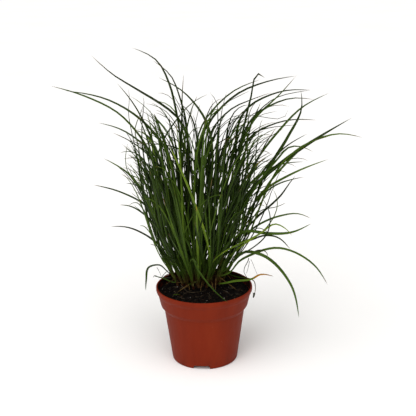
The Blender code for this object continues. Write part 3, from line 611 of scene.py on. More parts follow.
# The shoots: young grass tillers, each a rolled sheath with leaves that part from it one by one.
# They grow from a crown in the soil, lean outwards and arch over, each clear of its neighbours.
SHOOT_COUNT = 50
LEAVES_PER_SHOOT = 4
GOLDEN_TURN = math.pi * (3.0 - math.sqrt(5.0))
SHEATH_FOOT_R = 1.7
SHEATH_TOP_R = 1.15
SHEATH_LENGTH = (42.0, 66.0)
LENGTH_TURN = 0.618
LEAN_WIDE = 0.45
LEAN_DEEP = 0.50
LEAF_WIDTH = (2.3, 3.3)
LEAF_TIP_WIDTH = 0.35
BASE_WIDTH_SHARE = 0.62
WIDTH_RISE = 1.2
FULL_WIDTH_SHARE = 0.35
TIP_POWER = 3.0
CLEAR_TWIST = (1.4, 2.0)
FILL_TWIST = (-1.2, 1.2)
FIRST_TURN = 0.4
LEAF_GAP = 0.5
LEAF_RINGS = 2
TURN_PER_RING = math.radians(38.0)
LEAVE_SHEATH = 0.4
LEAVE_LOW = 1.2
COLLAR_STEPS = (0.95, 0.62, 0.3, 0.46)
FILL_TRIES = 160
SHOOT_TRIES = 6
CURVE_SAMPLES = 17
FINE_STEPS = 40
POT_CHECK_STEPS = 8
SPOT_LIMIT = 0.97
POT_MARGIN = 2.0
BED_MARGIN = 8.0
OUTLINE_SLACK = 3.0
SLIDES = (0.0, 3.0, -3.0, 6.0, -6.0, 9.0, -9.0, 12.0, -12.0, 16.0, -16.0, 20.0, -20.0)
DEPTH_SHARE = 0.7
DEPTH_POWER = 1.5
FIRST_DEPTH = 0.5
SEED = 26

# Leaves that stand clear of the clump in the front view: depth of the tip (y), width, and the
# points (x, z) that the blade passes on its way from the clump to its tip
CLEAR_LEAVES = (
    (-42, 3.6, ((-21, 175), (-29, 221), (-35, 253), (-45, 294))),
    (-40, 3.1, ((-18, 178), (-18, 203), (-8, 250), (-4, 272))),
    (-44, 4.3, ((10, 200), (2, 234), (-1, 258), (-4, 288))),
    (46, 3.2, ((-74, 275), (-102, 307), (-142, 328), (-185, 341))),
    (20, 3.0, ((-49, 274), (-76, 305), (-109, 326), (-164, 339))),
    (10, 3.1, ((-30, 307), (-82, 344), (-102, 357), (-129, 382))),
    (2, 2.8, ((-65, 292), (-83, 328), (-99, 350))),
    (30, 3.2, ((-31, 310), (-39, 345), (-52, 371), (-83, 388))),
    (10, 2.8, ((-25, 326), (-36, 356), (-57, 375))),
    (20, 3.3, ((-24, 311), (-23, 337), (-21, 357))),
    (-20, 3.1, ((-2, 318), (-22, 342), (-49, 359))),
    (60, 2.9, ((-75, 268), (-100, 284), (-131, 292))),
    (40, 2.9, ((-67, 257), (-83, 270), (-111, 284))),
    (-20, 2.9, ((-79, 231), (-89, 245), (-116, 265))),
    (50, 2.8, ((-73, 188), (-104, 205), (-139, 214))),
    (-10, 4.6, ((-36, 246), (-46, 285), (-56, 316))),
    (30, 2.5, ((-71, 179), (-92, 192), (-105, 193))),
    (-20, 4.4, ((47, 285), (57, 331), (66, 361), (73, 357))),
    (30, 3.0, ((11, 301), (44, 332), (80, 346), (115, 352))),
    (-10, 3.0, ((9, 312), (38, 340), (69, 354))),
    (10, 2.9, ((68, 309), (92, 332), (112, 355))),
    (40, 3.0, ((63, 319), (101, 333), (133, 333))),
    (-30, 3.0, ((72, 319), (103, 333), (129, 333))),
    (-10, 3.1, ((68, 259), (92, 292), (118, 320), (148, 337))),
    (-40, 5.2, ((74, 244), (100, 290), (114, 323), (112, 346))),
    (60, 2.8, ((71, 283), (103, 293), (144, 292))),
    (-30, 4.8, ((54, 215), (97, 258), (133, 285), (173, 311))),
    (-30, 2.9, ((91, 242), (131, 281), (160, 291), (186, 288))),
    (-50, 2.8, ((105, 270), (120, 284), (144, 295))),
    (20, 3.0, ((76, 211), (111, 233), (154, 251))),
    (-30, 2.6, ((65, 208), (87, 230), (119, 243))),
    (-60, 2.9, ((85, 262), (101, 281), (112, 283), (125, 279))),
    (30, 2.6, ((80, 240), (102, 264), (129, 281))),
    (20, 2.5, ((62, 164), (97, 180), (118, 182), (135, 175))),
    (0, 3.7, ((52, 169), (79, 166), (109, 168), (131, 179))),
    (40, 2.5, ((62, 142), (77, 147), (93, 145), (111, 128))),
    (-10, 2.4, ((70, 168), (88, 180), (98, 176), (107, 167))),
    (-20, 3.0, ((72, 189), (81, 199), (94, 214), (104, 231), (110, 241))),
    (0, 2.6, ((79, 240), (94, 248), (105, 251), (122, 253))),
    (10, 2.4, ((18, 278), (19, 305), (17, 326), (9, 337))),
    (-15, 2.6, ((-15, 262), (-27, 272), (-41, 277), (-62, 280), (-79, 281))),
    (-5, 2.2, ((-47, 280), (-38, 295), (-26, 311), (-13, 325), (8, 337))),
    (20, 2.4, ((22, 303), (39, 317), (58, 325), (84, 334))),
    (-122, 3.1, ((12, 240), (20, 270), (26, 262))),
    (122, 3.1, ((-14, 250), (-22, 276), (-28, 270))),
)

# Leaves that start low or hang over the rim: width, the share of the sheath's height at which the
# leaf parts from its shoot, and the points (x, y, z) that it passes
LOW_LEAVES = (
    (2.8, 0.5, (
        (-23, -13, 164), (-18, -22, 158), (-8, -31, 130), (1, -37, 118), (11, -45, 108), (29, -64, 98)
    )),
    (2.6, 0.1, ((22, -1, 98), (38, -6, 103), (60, -9, 107), (69, -11, 113), (86, -12, 111))),
    (3.8, 0.45, ((30, 2, 118), (53, -4, 141), (69, -8, 139), (106, -14, 103), (118, -15, 56))),
    (2.9, 0.35, ((30, 4, 109), (45, 2, 127), (61, 1, 136), (88, 0, 144), (136, 0, 122), (155, 0, 94))),
    (1.2, 0.3, ((43, 8, 103), (55, 6, 102), (62.5, 5, 98.5), (64.5, 5, 89), (62.6, 5, 77))),
    (2.6, 0.5, ((-41, 10, 112), (-56, 10, 147), (-71, 10, 159), (-95, 10, 170), (-115, 10, 171))),
    (2.7, 0.3, ((-41, 18, 105), (-57, 20, 116), (-70, 20, 113), (-74, 20, 95), (-75, 20, 81))),
    (1.7, 0.3, ((-36, 8, 98), (-55, 10, 103), (-64, 10, 105))),
)

# Half-width of the dense clump in the front view, at these heights: left of the axis, then right
FRONT_HEIGHTS = (90.0, 118.0, 183.0, 225.0, 258.0, 300.0, 335.0, 350.0)
FRONT_LEFT = (-37.0, -46.0, -77.0, -88.0, -94.0, -84.0, -60.0, -48.0)
FRONT_RIGHT = (24.0, 38.0, 66.0, 82.0, 88.0, 84.0, 64.0, 44.0)
DEPTH_LIMIT = 116.0
VIEW_RISE = 0.3
FILL_TOP = (190.0, 345.0)
FILL_HIGH_LOW_ODDS = (1.6, 1.1)
FILL_REACH = (14.0, 98.0)
FILL_LEAST_REACH = 0.35
FILL_DEPTH = 0.5
FRONT_EXTRA = 32.0
FRONT_SINE = -0.3
FILL_STRAY = (0.7, 0.9)
FILL_LEAN = (0.5, 1.9)
LAST_EASE = 0.4
LAST_DROP = 0.25

# Thin leaves seen at the clump's edge in the photo: depth of the tip (y), width and points (x, z)
THIN_CLEAR_LEAVES = (
    (35, 1.2, ((22, 312), (34, 322), (46, 328), (59, 334))),
    (45, 1.5, ((73, 311), (86, 321), (102, 327), (120, 330), (134, 332))),
    (10, 1.1, ((72, 314), (83, 318), (93, 320), (105, 318))),
    (-5, 1.0, ((59, 301), (71, 310), (80, 313), (89, 316))),
    (15, 1.1, ((60, 306), (72, 304), (85, 302), (96, 302), (102, 307), (104, 314))),
    (30, 1.6, ((58, 282), (73, 287), (89, 290), (105, 291), (117, 292))),
    (-10, 1.1, ((28, 303), (37, 310), (51, 312))),
    (25, 1.1, ((63, 302), (67, 311), (71, 323))),
    (-20, 1.1, ((67, 287), (68, 296), (69, 304), (71, 309))),
    (-10, 1.1, ((57, 272), (67, 280), (80, 286))),
    (25, 1.2, ((-83, 271), (-87, 293), (-89, 312), (-87, 328), (-88, 340))),
    (5, 1.8, ((-72, 273), (-72, 292), (-70, 312), (-68, 326), (-69, 336))),
    (-8, 1.8, ((-78, 281), (-80, 293), (-77, 304), (-72, 315), (-67, 328))),
    (30, 1.1, ((-48, 296), (-58, 306), (-69, 318), (-81, 327), (-87, 330))),
    (-15, 1.1, ((-35, 309), (-43, 319), (-53, 325), (-65, 329))),
    (-25, 1.5, ((-64, 277), (-63, 286), (-57, 294), (-53, 302))),
    (-15, 1.2, ((-78, 238), (-87, 243), (-91, 257), (-90, 270), (-87, 283))),
    (0, 1.1, ((-75, 228), (-78, 244), (-82, 258), (-89, 264))),
    (20, 1.4, ((-76, 244), (-80, 259), (-85, 268), (-88, 274))),
    (-20, 1.1, ((-11, 298), (-13, 309), (-21, 323))),
    (-30, 1.4, ((-14, 292), (-10, 298), (1, 301), (8, 297))),
    (10, 1.1, ((-39, 283), (-39, 296), (-38, 311))),
    (20, 1.1, ((10, 306), (12, 316), (13, 327))),
    (0, 1.1, ((-6, 291), (-8, 303), (-11, 313))),
    (-10, 1.3, ((-18, 300), (-14, 310), (-10, 320))),
    (-35, 1.6, ((79, 175), (80, 191), (77, 204), (70, 218))),
    (-25, 1.5, ((78, 172), (85, 185), (89, 200), (88, 214), (83, 226))),
    (0, 1.4, ((76, 192), (80, 204), (84, 217), (89, 226))),
    (10, 1.2, ((78, 189), (89, 192), (102, 199))),
    (30, 1.0, ((92, 221), (95, 230), (100, 241))),
    (-25, 1.2, ((78, 241), (88, 246), (100, 245))),
    (15, 1.5, ((95, 247), (107, 253), (119, 254), (130, 250))),
    (-30, 1.4, ((57, 202), (66, 208), (74, 208))),
    (20, 1.0, ((95, 243), (107, 245), (116, 240))),
    (-20, 1.0, ((72, 171), (79, 168), (82, 166))),
)
THIN_CLEAR_STEP = 0.62
THIN_CLEAR_TRIES = 16
THIN_LEAF_STEPS = (0.88, 0.7, 0.46)
THIN_TRIES = 60
THIN_STRAY = 1.2
THIN_DEPTH = 0.45
THIN_REACH = (45.0, 150.0)
THIN_TOP = (140.0, 340.0)
THIN_HIGH_LOW_ODDS = (1.5, 1.3)
THIN_LEAN = (0.8, 2.1)
THIN_WIDTH = (1.0, 2.2)
THIN_SLACK = 14.0
THIN_EASE = 0.5
THIN_TWIST = (-1.8, 1.8)
THIN_MOST = 7
THIN_SEED = 7

# Dead leaves at the feet
DEAD_SPOT = 0.5
DEAD_SHARE = 0.7
DEAD_STEP = (0.05, 0.3)
DEAD_STRAY = 0.7
DEAD_REACH = (7.0, 30.0)
DEAD_LIFT = (0.5, 7.0)
DEAD_ARCH = (1.0, 6.0)
DEAD_EDGE = 10.0
DEAD_TONE = 0.3
DEAD_DRY = (0.55, 1.1, 1.1)
DEAD_WIDTH = (0.6, 1.4)
DEAD_TWIST = (-2.5, 2.5)

# Leaves that look unlike the rest: their tone (0 dark green, 1 yellow-green), the dry share from the
# tip, and the share of their width that a blunt tip keeps. The clear ones are found by their tips
LOW_LOOKS = (
    (0.5, 0.02, 0.0), (0.73, 0.34, 0.0), None, None, (0.2, 0.5, 0.0), None, (0.2, 0.03, 0.0), None
)
CLEAR_LOOKS = {
    (-45, 294): (0.6, 0.02, 0.0),
    (-4, 272): (0.58, 0.02, 0.0),
    (-4, 288): (0.45, 0.02, 0.0),
    (-56, 316): (0.45, 0.02, 0.8),
    (73, 357): (0.2, 0.02, 0.5),
    (112, 346): (0.3, 0.02, 0.0),
}


def unit(vector):
    return vector / np.linalg.norm(vector)


def smooth_path(points, start_way, end_way, steps):
    """Points along a smooth curve through the given ones, evenly spaced by length."""
    knots = np.array(points, float)
    chords = np.linalg.norm(np.diff(knots, axis=0), axis=1)
    ways = np.zeros_like(knots)
    for i in range(1, len(knots) - 1):
        before = (knots[i] - knots[i - 1]) / chords[i - 1]
        after = (knots[i + 1] - knots[i]) / chords[i]
        blend = chords[i - 1] / (chords[i - 1] + chords[i])
        ways[i] = before * (1.0 - blend) + after * blend
    ways[0] = start_way
    last_way = (knots[-1] - knots[-2]) / chords[-1]
    ways[-1] = end_way if end_way is not None else 1.5 * last_way - 0.5 * ways[-2]
    curve = []
    for i, chord in enumerate(chords):
        t = np.linspace(0.0, 1.0, CURVE_SAMPLES)[: None if i == len(chords) - 1 else -1, None]
        curve.append(
            (2 * t**3 - 3 * t**2 + 1) * knots[i]
            + (t**3 - 2 * t**2 + t) * chord * ways[i]
            + (3 * t**2 - 2 * t**3) * knots[i + 1]
            + (t**3 - t**2) * chord * ways[i + 1]
        )
    curve = np.concatenate(curve)
    run = np.concatenate([[0.0], np.cumsum(np.linalg.norm(np.diff(curve, axis=0), axis=1))])
    wanted = np.linspace(0.0, run[-1], steps)
    return np.stack([np.interp(wanted, run, curve[:, axis]) for axis in range(3)], axis=1)


def turning(path):
    """Total angle that a path turns through."""
    ways = np.diff(path, axis=0)
    ways /= np.linalg.norm(ways, axis=1)[:, None]
    cosines = np.clip((ways[:-1] * ways[1:]).sum(axis=1), -1.0, 1.0)
    return float(np.arccos(cosines).sum())


def leaf_line(points, start_way, end_way=None):
    """A leaf's centre line, with more points where it bends more."""
    fine = smooth_path(points, start_way, end_way, FINE_STEPS)
    rings = LEAF_RINGS + int(turning(fine) / TURN_PER_RING)
    return smooth_path(points, start_way, end_way, rings + 1)


def segment_gaps(path, others):
    """Smallest distance from each other segment to the path, both as pairs of end points."""
    a = path[:-1, None]
    d = np.diff(path, axis=0)[:, None]
    b = others[None, :, 0]
    e = (others[:, 1] - others[:, 0])[None]
    r = a - b
    dd = (d * d).sum(-1)
    ee = (e * e).sum(-1)
    de = (d * e).sum(-1)
    dr = (d * r).sum(-1)
    er = (e * r).sum(-1)
    bottom = dd * ee - de * de
    s = np.clip((de * er - dr * ee) / np.where(bottom > 1e-9, bottom, 1.0), 0.0, 1.0)
    t = np.clip((de * s + er) / ee, 0.0, 1.0)
    s = np.clip((de * t - dr) / dd, 0.0, 1.0)
    return np.linalg.norm(r + s[..., None] * d - t[..., None] * e, axis=-1).min(axis=0)


class Crowd:
    """The leaf and sheath segments placed so far, each with its shoot and half-width."""

    def __init__(self):
        self.ends = np.zeros((0, 2, 3))
        self.half = np.zeros(0)
        self.shoot = np.zeros(0, int)
        self.outer = np.zeros(0, bool)

    def add(self, path, half, shoot):
        count = len(path) - 1
        self.ends = np.concatenate([self.ends, np.stack([path[:-1], path[1:]], axis=1)])
        self.half = np.concatenate([self.half, np.full(count, half)])
        self.shoot = np.concatenate([self.shoot, np.full(count, shoot)])
        self.outer = np.concatenate([self.outer, np.arange(count) > 0])

    def keeps_off(self, path, half, others):
        """Whether a path of this half-width keeps the gap to these segments."""
        reach = half + self.half + LEAF_GAP
        low = path.min(axis=0) - reach[:, None]
        high = path.max(axis=0) + reach[:, None]
        near = (self.ends.max(axis=1) > low).all(axis=1) & (self.ends.min(axis=1) < high).all(axis=1)
        near &= others
        if not near.any():
            return True
        return bool((segment_gaps(path, self.ends[near]) > reach[near]).all())

    def free(self, path, half, shoot):
        """Whether a leaf keeps off the other shoots, and beyond its first stretch off its own shoot too."""
        same = self.shoot == shoot
        return self.keeps_off(path, half, ~same) and self.keeps_off(path[1:], half, same & self.outer)


def clears_pot(path):
    """Whether a leaf stays off the soil and the pot's lip."""
    fine = np.concatenate([np.linspace(a, b, POT_CHECK_STEPS) for a, b in zip(path[:-1], path[1:])])
    out = np.hypot(fine[:, 0], fine[:, 1])
    over_pot = (out < POT_LIP_R + POT_MARGIN) & (fine[:, 2] < POT_HEIGHT + POT_MARGIN)
    in_bed = (out < POT_LIP_R - BED_MARGIN) & (fine[:, 2] > SOIL_EDGE_Z + SOIL_MOUND + POT_MARGIN)
    return not (over_pot & ~in_bed).any()


def in_front_outline(path, slack=OUTLINE_SLACK):
    """Whether a leaf stays inside the dense clump's front outline and depth."""
    height = path[:, 2] + VIEW_RISE * (path[:, 1] - CLUMP_Y)
    left = np.interp(height, FRONT_HEIGHTS, FRONT_LEFT)
    right = np.interp(height, FRONT_HEIGHTS, FRONT_RIGHT)
    inside = (path[:, 0] > left - slack) & (path[:, 0] < right + slack)
    inside &= (np.abs(path[:, 1]) < DEPTH_LIMIT) & (height < FRONT_HEIGHTS[-1] + slack - OUTLINE_SLACK)
    return bool(inside.all())


def grow_shoots():
    """Each shoot's foot, way and sheath length, on a sunflower pattern in the clump's ellipse."""
    shoots = []
    for k in range(SHOOT_COUNT):
        out = math.sqrt((k + 0.5) / SHOOT_COUNT)
        wide = out * math.cos(k * GOLDEN_TURN)
        deep = out * math.sin(k * GOLDEN_TURN)
        x = CLUMP_X + CLUMP_HALF_WIDTH * wide
        y = CLUMP_Y + CLUMP_HALF_DEPTH * deep
        foot = np.array([x, y, soil_height(x, y)])
        way = unit(np.array([LEAN_WIDE * wide, LEAN_DEEP * deep, 1.0]))
        length = SHEATH_LENGTH[0] + (SHEATH_LENGTH[1] - SHEATH_LENGTH[0]) * ((k * LENGTH_TURN) % 1.0)
        shoot = {"number": k, "foot": foot, "way": way, "length": length, "spot": (wide, deep), "leaves": []}
        shoots.append(shoot)
    return shoots


def collar_of(shoot, step=None):
    """Where the shoot's next leaf leaves its sheath, at this share of its height or the usual one."""
    step = COLLAR_STEPS[len(shoot["leaves"])] if step is None else step
    return shoot["foot"] + shoot["way"] * shoot["length"] * step


def nearest_shoots(shoots, x, y, z, most=LEAVES_PER_SHOOT - 1):
    """The shoots with room for a leaf, best first, whose place suits a leaf that passes this point."""
    rise = z - SOIL_EDGE_Z
    wide = (x - CLUMP_X) / (CLUMP_HALF_WIDTH + LEAN_WIDE * rise)
    deep = (y - CLUMP_Y) / (CLUMP_HALF_DEPTH + LEAN_DEEP * rise)
    size = max(1.0, math.hypot(wide, deep) / SPOT_LIMIT)
    open_shoots = [s for s in shoots if len(s["leaves"]) < most]
    return sorted(open_shoots, key=lambda s: math.dist(s["spot"], (wide / size, deep / size)))


def leaving_way(shoot, collar, goal, tilt=LEAVE_SHEATH):
    """The direction in which a leaf parts from its sheath: up the shoot, tilted towards its goal."""
    aside = (goal - collar) * np.array([1.0, 1.0, 0.0])
    size = np.linalg.norm(aside)
    return unit(shoot["way"] + tilt * aside / max(size, 1.0))


def new_leaf(course, width, twist, step, look):
    """A leaf: what its middle line is drawn from, the share of the sheath where it parts, its look."""
    path = leaf_line(*course)
    return {"course": course, "path": path, "width": width, "twist": twist, "step": step, "look": look}


def try_leaf(crowd, shoot, course, width, rng, twist, look=None, step=None, slack=None):
    """Adds a leaf if it keeps off the pot and other leaves, and inside the outline if slack is given."""
    path = leaf_line(*course)
    fits = (slack is None or in_front_outline(path, slack)) and clears_pot(path)
    if not (fits and crowd.free(path, width / 2, shoot["number"])):
        return False
    step = COLLAR_STEPS[len(shoot["leaves"])] if step is None else step
    shoot["leaves"].append(new_leaf(course, width, rng.uniform(*twist), step, look))
    crowd.add(path, width / 2, shoot["number"])
    return True


def place_low_leaves(crowd, shoots, rng):
    """The leaves that start low or hang over the rim, each from the first shoot that has room."""
    for (width, step, points), look in zip(LOW_LEAVES, LOW_LOOKS):
        first = np.array(points[0], float)
        for shoot in nearest_shoots(shoots, *points[0])[:SHOOT_TRIES]:
            collar = collar_of(shoot, step)
            course = ([collar, *points], leaving_way(shoot, collar, first, LEAVE_LOW), None)
            if try_leaf(crowd, shoot, course, width, rng, CLEAR_TWIST, look, step):
                break


def clear_leaf_course(shoot, depth, points, slide, step=None):
    """The points and first way of a leaf that stands clear, with its outer part moved in depth."""
    collar = collar_of(shoot, step)
    knots = [collar]
    for i, (x, z) in enumerate(points):
        part = DEPTH_SHARE + (1.0 - DEPTH_SHARE) * (i / (len(points) - 1))
        y = collar[1] + (depth - collar[1]) * part**DEPTH_POWER
        knots.append(np.array([x, y + slide, z]))
    return knots, leaving_way(shoot, collar, knots[1]), None


def place_clear_leaves(crowd, shoots, rng, rows, tries=SHOOT_TRIES, most=LEAVES_PER_SHOOT - 1, step=None):
    """The leaves that stand clear: each tries a few shoots and small slides until it has room."""
    for depth, width, points in rows:
        first_y = CLUMP_Y + (depth - CLUMP_Y) * DEPTH_SHARE * FIRST_DEPTH
        nearest = nearest_shoots(shoots, points[0][0], first_y, points[0][1], most)[:tries]
        slides = [0.0] if abs(depth) > DEPTH_LIMIT else SLIDES
        look = CLEAR_LOOKS.get(points[-1])
        for slide, shoot in ((slide, shoot) for slide in slides for shoot in nearest):
            course = clear_leaf_course(shoot, depth, points, slide, step)
            if try_leaf(crowd, shoot, course, width, rng, CLEAR_TWIST, look, step):
                break


def leaning_course(shoot, collar, azimuth, depth, reach, top, lean):
    """The course of a leaf whose tip lies this far out and this high, at this lean from upright."""
    way = unit(np.array([math.cos(azimuth), depth * math.sin(azimuth), 0.0]))
    tip = collar + way * reach
    tip[2] = top
    end_way = way * math.sin(lean) + np.array([0.0, 0.0, math.cos(lean)])
    return [collar, tip], leaving_way(shoot, collar, tip), end_way


def place_fill_leaves(crowd, shoots, rng):
    """The leaves of the dense clump: each tries other ways to lean until it has room."""
    places = [(turn, shoot) for turn in range(LEAVES_PER_SHOOT) for shoot in shoots]
    for shoot in (shoot for turn, shoot in places if len(shoot["leaves"]) <= turn):
        collar = collar_of(shoot)
        wide, deep = shoot["spot"]
        stray = FILL_STRAY[0] + FILL_STRAY[1] * (1.0 - math.hypot(wide, deep))
        for attempt in range(FILL_TRIES):
            ease = 1.0 - LAST_EASE * attempt / FILL_TRIES
            azimuth = math.atan2(deep, wide) + rng.normal(0.0, stray)
            most = FILL_REACH[1] + (FRONT_EXTRA if math.sin(azimuth) < FRONT_SINE else 0.0)
            reach = FILL_REACH[0] + (most - FILL_REACH[0]) * rng.uniform(FILL_LEAST_REACH, 1.0)
            top = FILL_TOP[0] + (FILL_TOP[1] - FILL_TOP[0]) * rng.beta(*FILL_HIGH_LOW_ODDS)
            top = SOIL_EDGE_Z + (top - SOIL_EDGE_Z) * (1.0 - LAST_DROP * (1.0 - ease))
            width = rng.uniform(*LEAF_WIDTH)
            lean = rng.uniform(*FILL_LEAN)
            course = leaning_course(shoot, collar, azimuth, FILL_DEPTH, reach * ease, top, lean)
            if try_leaf(crowd, shoot, course, width, rng, FILL_TWIST, slack=OUTLINE_SLACK):
                break


def place_thin_leaves(crowd, shoots, rng):
    """Younger, thinner leaves between the others, which lean and cross every way."""
    for step, shoot in ((step, shoot) for step in THIN_LEAF_STEPS for shoot in shoots):
        collar = collar_of(shoot, step)
        wide, deep = shoot["spot"]
        for attempt in range(THIN_TRIES):
            azimuth = math.atan2(deep, wide) + rng.normal(0.0, THIN_STRAY)
            reach = rng.uniform(*THIN_REACH) * (1.0 - THIN_EASE * attempt / THIN_TRIES)
            top = THIN_TOP[0] + (THIN_TOP[1] - THIN_TOP[0]) * rng.beta(*THIN_HIGH_LOW_ODDS)
            width = rng.uniform(*THIN_WIDTH)
            lean = rng.uniform(*THIN_LEAN)
            course = leaning_course(shoot, collar, azimuth, THIN_DEPTH, reach, top, lean)
            if try_leaf(crowd, shoot, course, width, rng, THIN_TWIST, step=step, slack=THIN_SLACK):
                break


def place_dead_leaves(shoots, rng):
    """Short dead leaves that droop from the feet of the outer shoots on to the soil."""
    for shoot in shoots:
        wide, deep = shoot["spot"]
        if math.hypot(wide, deep) < DEAD_SPOT or rng.uniform() > DEAD_SHARE:
            continue
        step = rng.uniform(*DEAD_STEP)
        collar = collar_of(shoot, step)
        azimuth = math.atan2(deep, wide) + rng.normal(0.0, DEAD_STRAY)
        tip = collar + np.array([math.cos(azimuth), math.sin(azimuth), 0.0]) * rng.uniform(*DEAD_REACH)
        if math.hypot(tip[0], tip[1]) > POT_LIP_R - DEAD_EDGE:
            continue
        tip[2] = soil_height(tip[0], tip[1]) + rng.uniform(*DEAD_LIFT)
        middle = (collar + tip) / 2 + np.array([0.0, 0.0, rng.uniform(*DEAD_ARCH)])
        course = ([collar, middle, tip], leaving_way(shoot, collar, tip, LEAVE_LOW), None)
        look = (DEAD_TONE, rng.choice(DEAD_DRY), 0.0)
        width = rng.uniform(*DEAD_WIDTH)
        shoot["leaves"].append(new_leaf(course, width, rng.uniform(*DEAD_TWIST), step, look))


def grow_clump():
    """All shoots with their leaves: first those that the solids have, then the thin and dead ones."""
    rng = np.random.default_rng(SEED)
    shoots = grow_shoots()
    crowd = Crowd()
    for number, shoot in enumerate(shoots):
        top = shoot["foot"] + shoot["way"] * shoot["length"]
        crowd.add(np.array([shoot["foot"], top]), SHEATH_FOOT_R, number)
    place_low_leaves(crowd, shoots, rng)
    place_clear_leaves(crowd, shoots, rng, CLEAR_LEAVES)
    place_fill_leaves(crowd, shoots, rng)
    rng = np.random.default_rng(THIN_SEED)
    thin_step = THIN_CLEAR_STEP
    place_clear_leaves(crowd, shoots, rng, THIN_CLEAR_LEAVES, THIN_CLEAR_TRIES, THIN_MOST, thin_step)
    place_thin_leaves(crowd, shoots, rng)
    place_dead_leaves(shoots, rng)
    return shoots


# Each leaf is a thin folded strip. Its lower end is a sheath that wraps its shoot up to the collar,
# where the strip opens to the blade, which has a keel below and is drawn out to a fine tip.
BLADE_RINGS = 26
STEM_SHARE = 0.78
WRAP_RINGS = 3
WRAP_LENGTH = 17.0
WRAP_ANGLE = 1.9
OPENING_LENGTH = 9.0
BLADE_KEEL = 0.8
LEAST_KEEL = 0.22
KEEL_POWER = 1.3
BLADE_THICKNESS = 0.26
EDGE_THINNING = 0.35
ACROSS = np.linspace(-1.0, 1.0, 5)
WRAP_CLEARANCE = 0.12
EDGE_RIPPLE = 0.07
EDGE_RIPPLE_LENGTH = (14.0, 26.0)
EDGE_RIPPLE_START = (0.0, 6.28)
STEM_SIDES = 12
STEM_RINGS = 12
STEM_LOW = -0.05
STEM_HIGH = 0.93
STEM_TOP_RINGS = ((0.97, 0.75), (1.0, 0.4), (1.0, 0.0))
STEM_INSET = 0.1
STEM_RIDGES = 4.0
STEM_RIDGE_HEIGHT = 0.05
BAKE_EDGE = 0.01
LEAF_EDGE_ANGLE = 60.0
LEAF_VALUES = ("tone_and_painted_shade", "dry", "wrap", "height")

# Tones (0 dark green, 1 yellow-green) and dry shares; the leaves of the inner shoots get lower tones than the
# outer ones as painted shade of the clump's core
LOOK_SEED = 11
STEM_TONE = (0.1, 0.6)
DEAD_STEM_SHARE = 0.3
DEAD_STEM_DRY = 1.1
PAINTED_SHADE_CORE_TONE = 0.02
PAINTED_LIGHT_OUTWARD_TONE = 0.52
TONE_SPREAD = 0.2
MOST_TONE = 0.85
DRY_TIP = (0.02, 0.08)


def side_way(path):
    """A level direction across a leaf, square to the way it leans."""
    lean = path[-1] - path[0]
    across = np.array([-lean[1], lean[0], 0.0])
    size = np.linalg.norm(across)
    return across / size if size > 1.0 else np.array([1.0, 0.0, 0.0])


def blade_width(share, width):
    """Width along a blade: narrow at the sheath, full from a third up, drawn out to a fine tip."""
    rise = np.minimum(1.0, BASE_WIDTH_SHARE + WIDTH_RISE * share)
    fall = 1.0 - np.maximum(0.0, (share - FULL_WIDTH_SHARE) / (1.0 - FULL_WIDTH_SHARE)) ** TIP_POWER
    return LEAF_TIP_WIDTH + (width - LEAF_TIP_WIDTH) * rise * fall


def section(radius, half, keel, open_share, thickness):
    """A leaf's section: its upper side from edge to edge, then its lower side back again."""
    wrapped = np.stack([radius * np.sin(WRAP_ANGLE * ACROSS), -radius * np.cos(WRAP_ANGLE * ACROSS)], axis=1)
    folded = np.stack([half * ACROSS, -keel * (1.0 - np.abs(ACROSS) ** KEEL_POWER)], axis=1)
    upper = wrapped * (1.0 - open_share) + folded * open_share
    along = np.gradient(upper, axis=0)
    outward = np.stack([along[:, 1], -along[:, 0]], axis=1)
    outward /= np.linalg.norm(outward, axis=1)[:, None]
    lower = (upper + outward * thickness)[1:-1]
    return np.concatenate([upper, lower[::-1], upper[:1]])


def stem_radius(share):
    """Radius of a shoot's rolled sheaths at this share of their height."""
    return STEM_SHARE * (SHEATH_FOOT_R + (SHEATH_TOP_R - SHEATH_FOOT_R) * share)


def leaf_rings(shoot, leaf, rng):
    """The rings of points of one leaf from its sheath to its tip, and each ring's share along it."""
    line = smooth_path(*leaf["course"], BLADE_RINGS)
    wrap_length = min(WRAP_LENGTH, shoot["length"] * leaf["step"])
    wrap = np.linspace(-wrap_length, 0.0, WRAP_RINGS, endpoint=False)[:, None] * shoot["way"] + line[0]
    line = np.concatenate([wrap, line])
    steps = np.linalg.norm(np.diff(line, axis=0), axis=1)
    run = np.concatenate([[0.0], np.cumsum(steps)]) - wrap_length
    share = np.maximum(0.0, run / run[-1])
    ways = np.gradient(line, axis=0)
    across = side_way(leaf["path"])
    wave = np.sin(run / rng.uniform(*EDGE_RIPPLE_LENGTH) + rng.uniform(*EDGE_RIPPLE_START))
    ripple = np.where(share > 0.0, 1.0 + EDGE_RIPPLE * wave, 1.0)
    rings = []
    for i, point in enumerate(line):
        way = unit(ways[i])
        side = unit(across - way * (across @ way))
        normal = np.cross(way, side)
        turn = leaf["twist"] * (FIRST_TURN + (1.0 - FIRST_TURN) * share[i])
        level, upright = side, normal
        side = level * math.cos(turn) + upright * math.sin(turn)
        normal = upright * math.cos(turn) - level * math.sin(turn)
        half = blade_width(share[i], leaf["width"]) / 2 * ripple[i]
        half = max(half, leaf["width"] / 2 * leaf["blunt"])
        keel = max(LEAST_KEEL, BLADE_KEEL * half * 2 / leaf["width"])
        opened = min(1.0, max(0.0, run[i] / OPENING_LENGTH))
        opened = opened * opened * (3.0 - 2.0 * opened)
        stem = stem_radius(min(1.0, leaf["step"] + run[i] / shoot["length"])) + WRAP_CLEARANCE
        thick = BLADE_THICKNESS * min(1.0, EDGE_THINNING + half)
        flat = section(stem, half, keel, opened, thick)
        rings.append(point + flat[:, :1] * side + flat[:, 1:] * normal)
    rings = np.array(rings)
    first = np.broadcast_to(rings[0].mean(axis=0), rings[0].shape)
    last = np.broadcast_to(line[-1], rings[0].shape)
    rings = np.concatenate([first[None], rings[:-1], last[None]])
    shares = np.concatenate([[share[0]], share[:-1], [1.0]])
    wraps = np.concatenate([[1.0], 1.0 - np.clip(run[:-1] / OPENING_LENGTH, 0.0, 1.0), [0.0]])
    return rings, shares, wraps


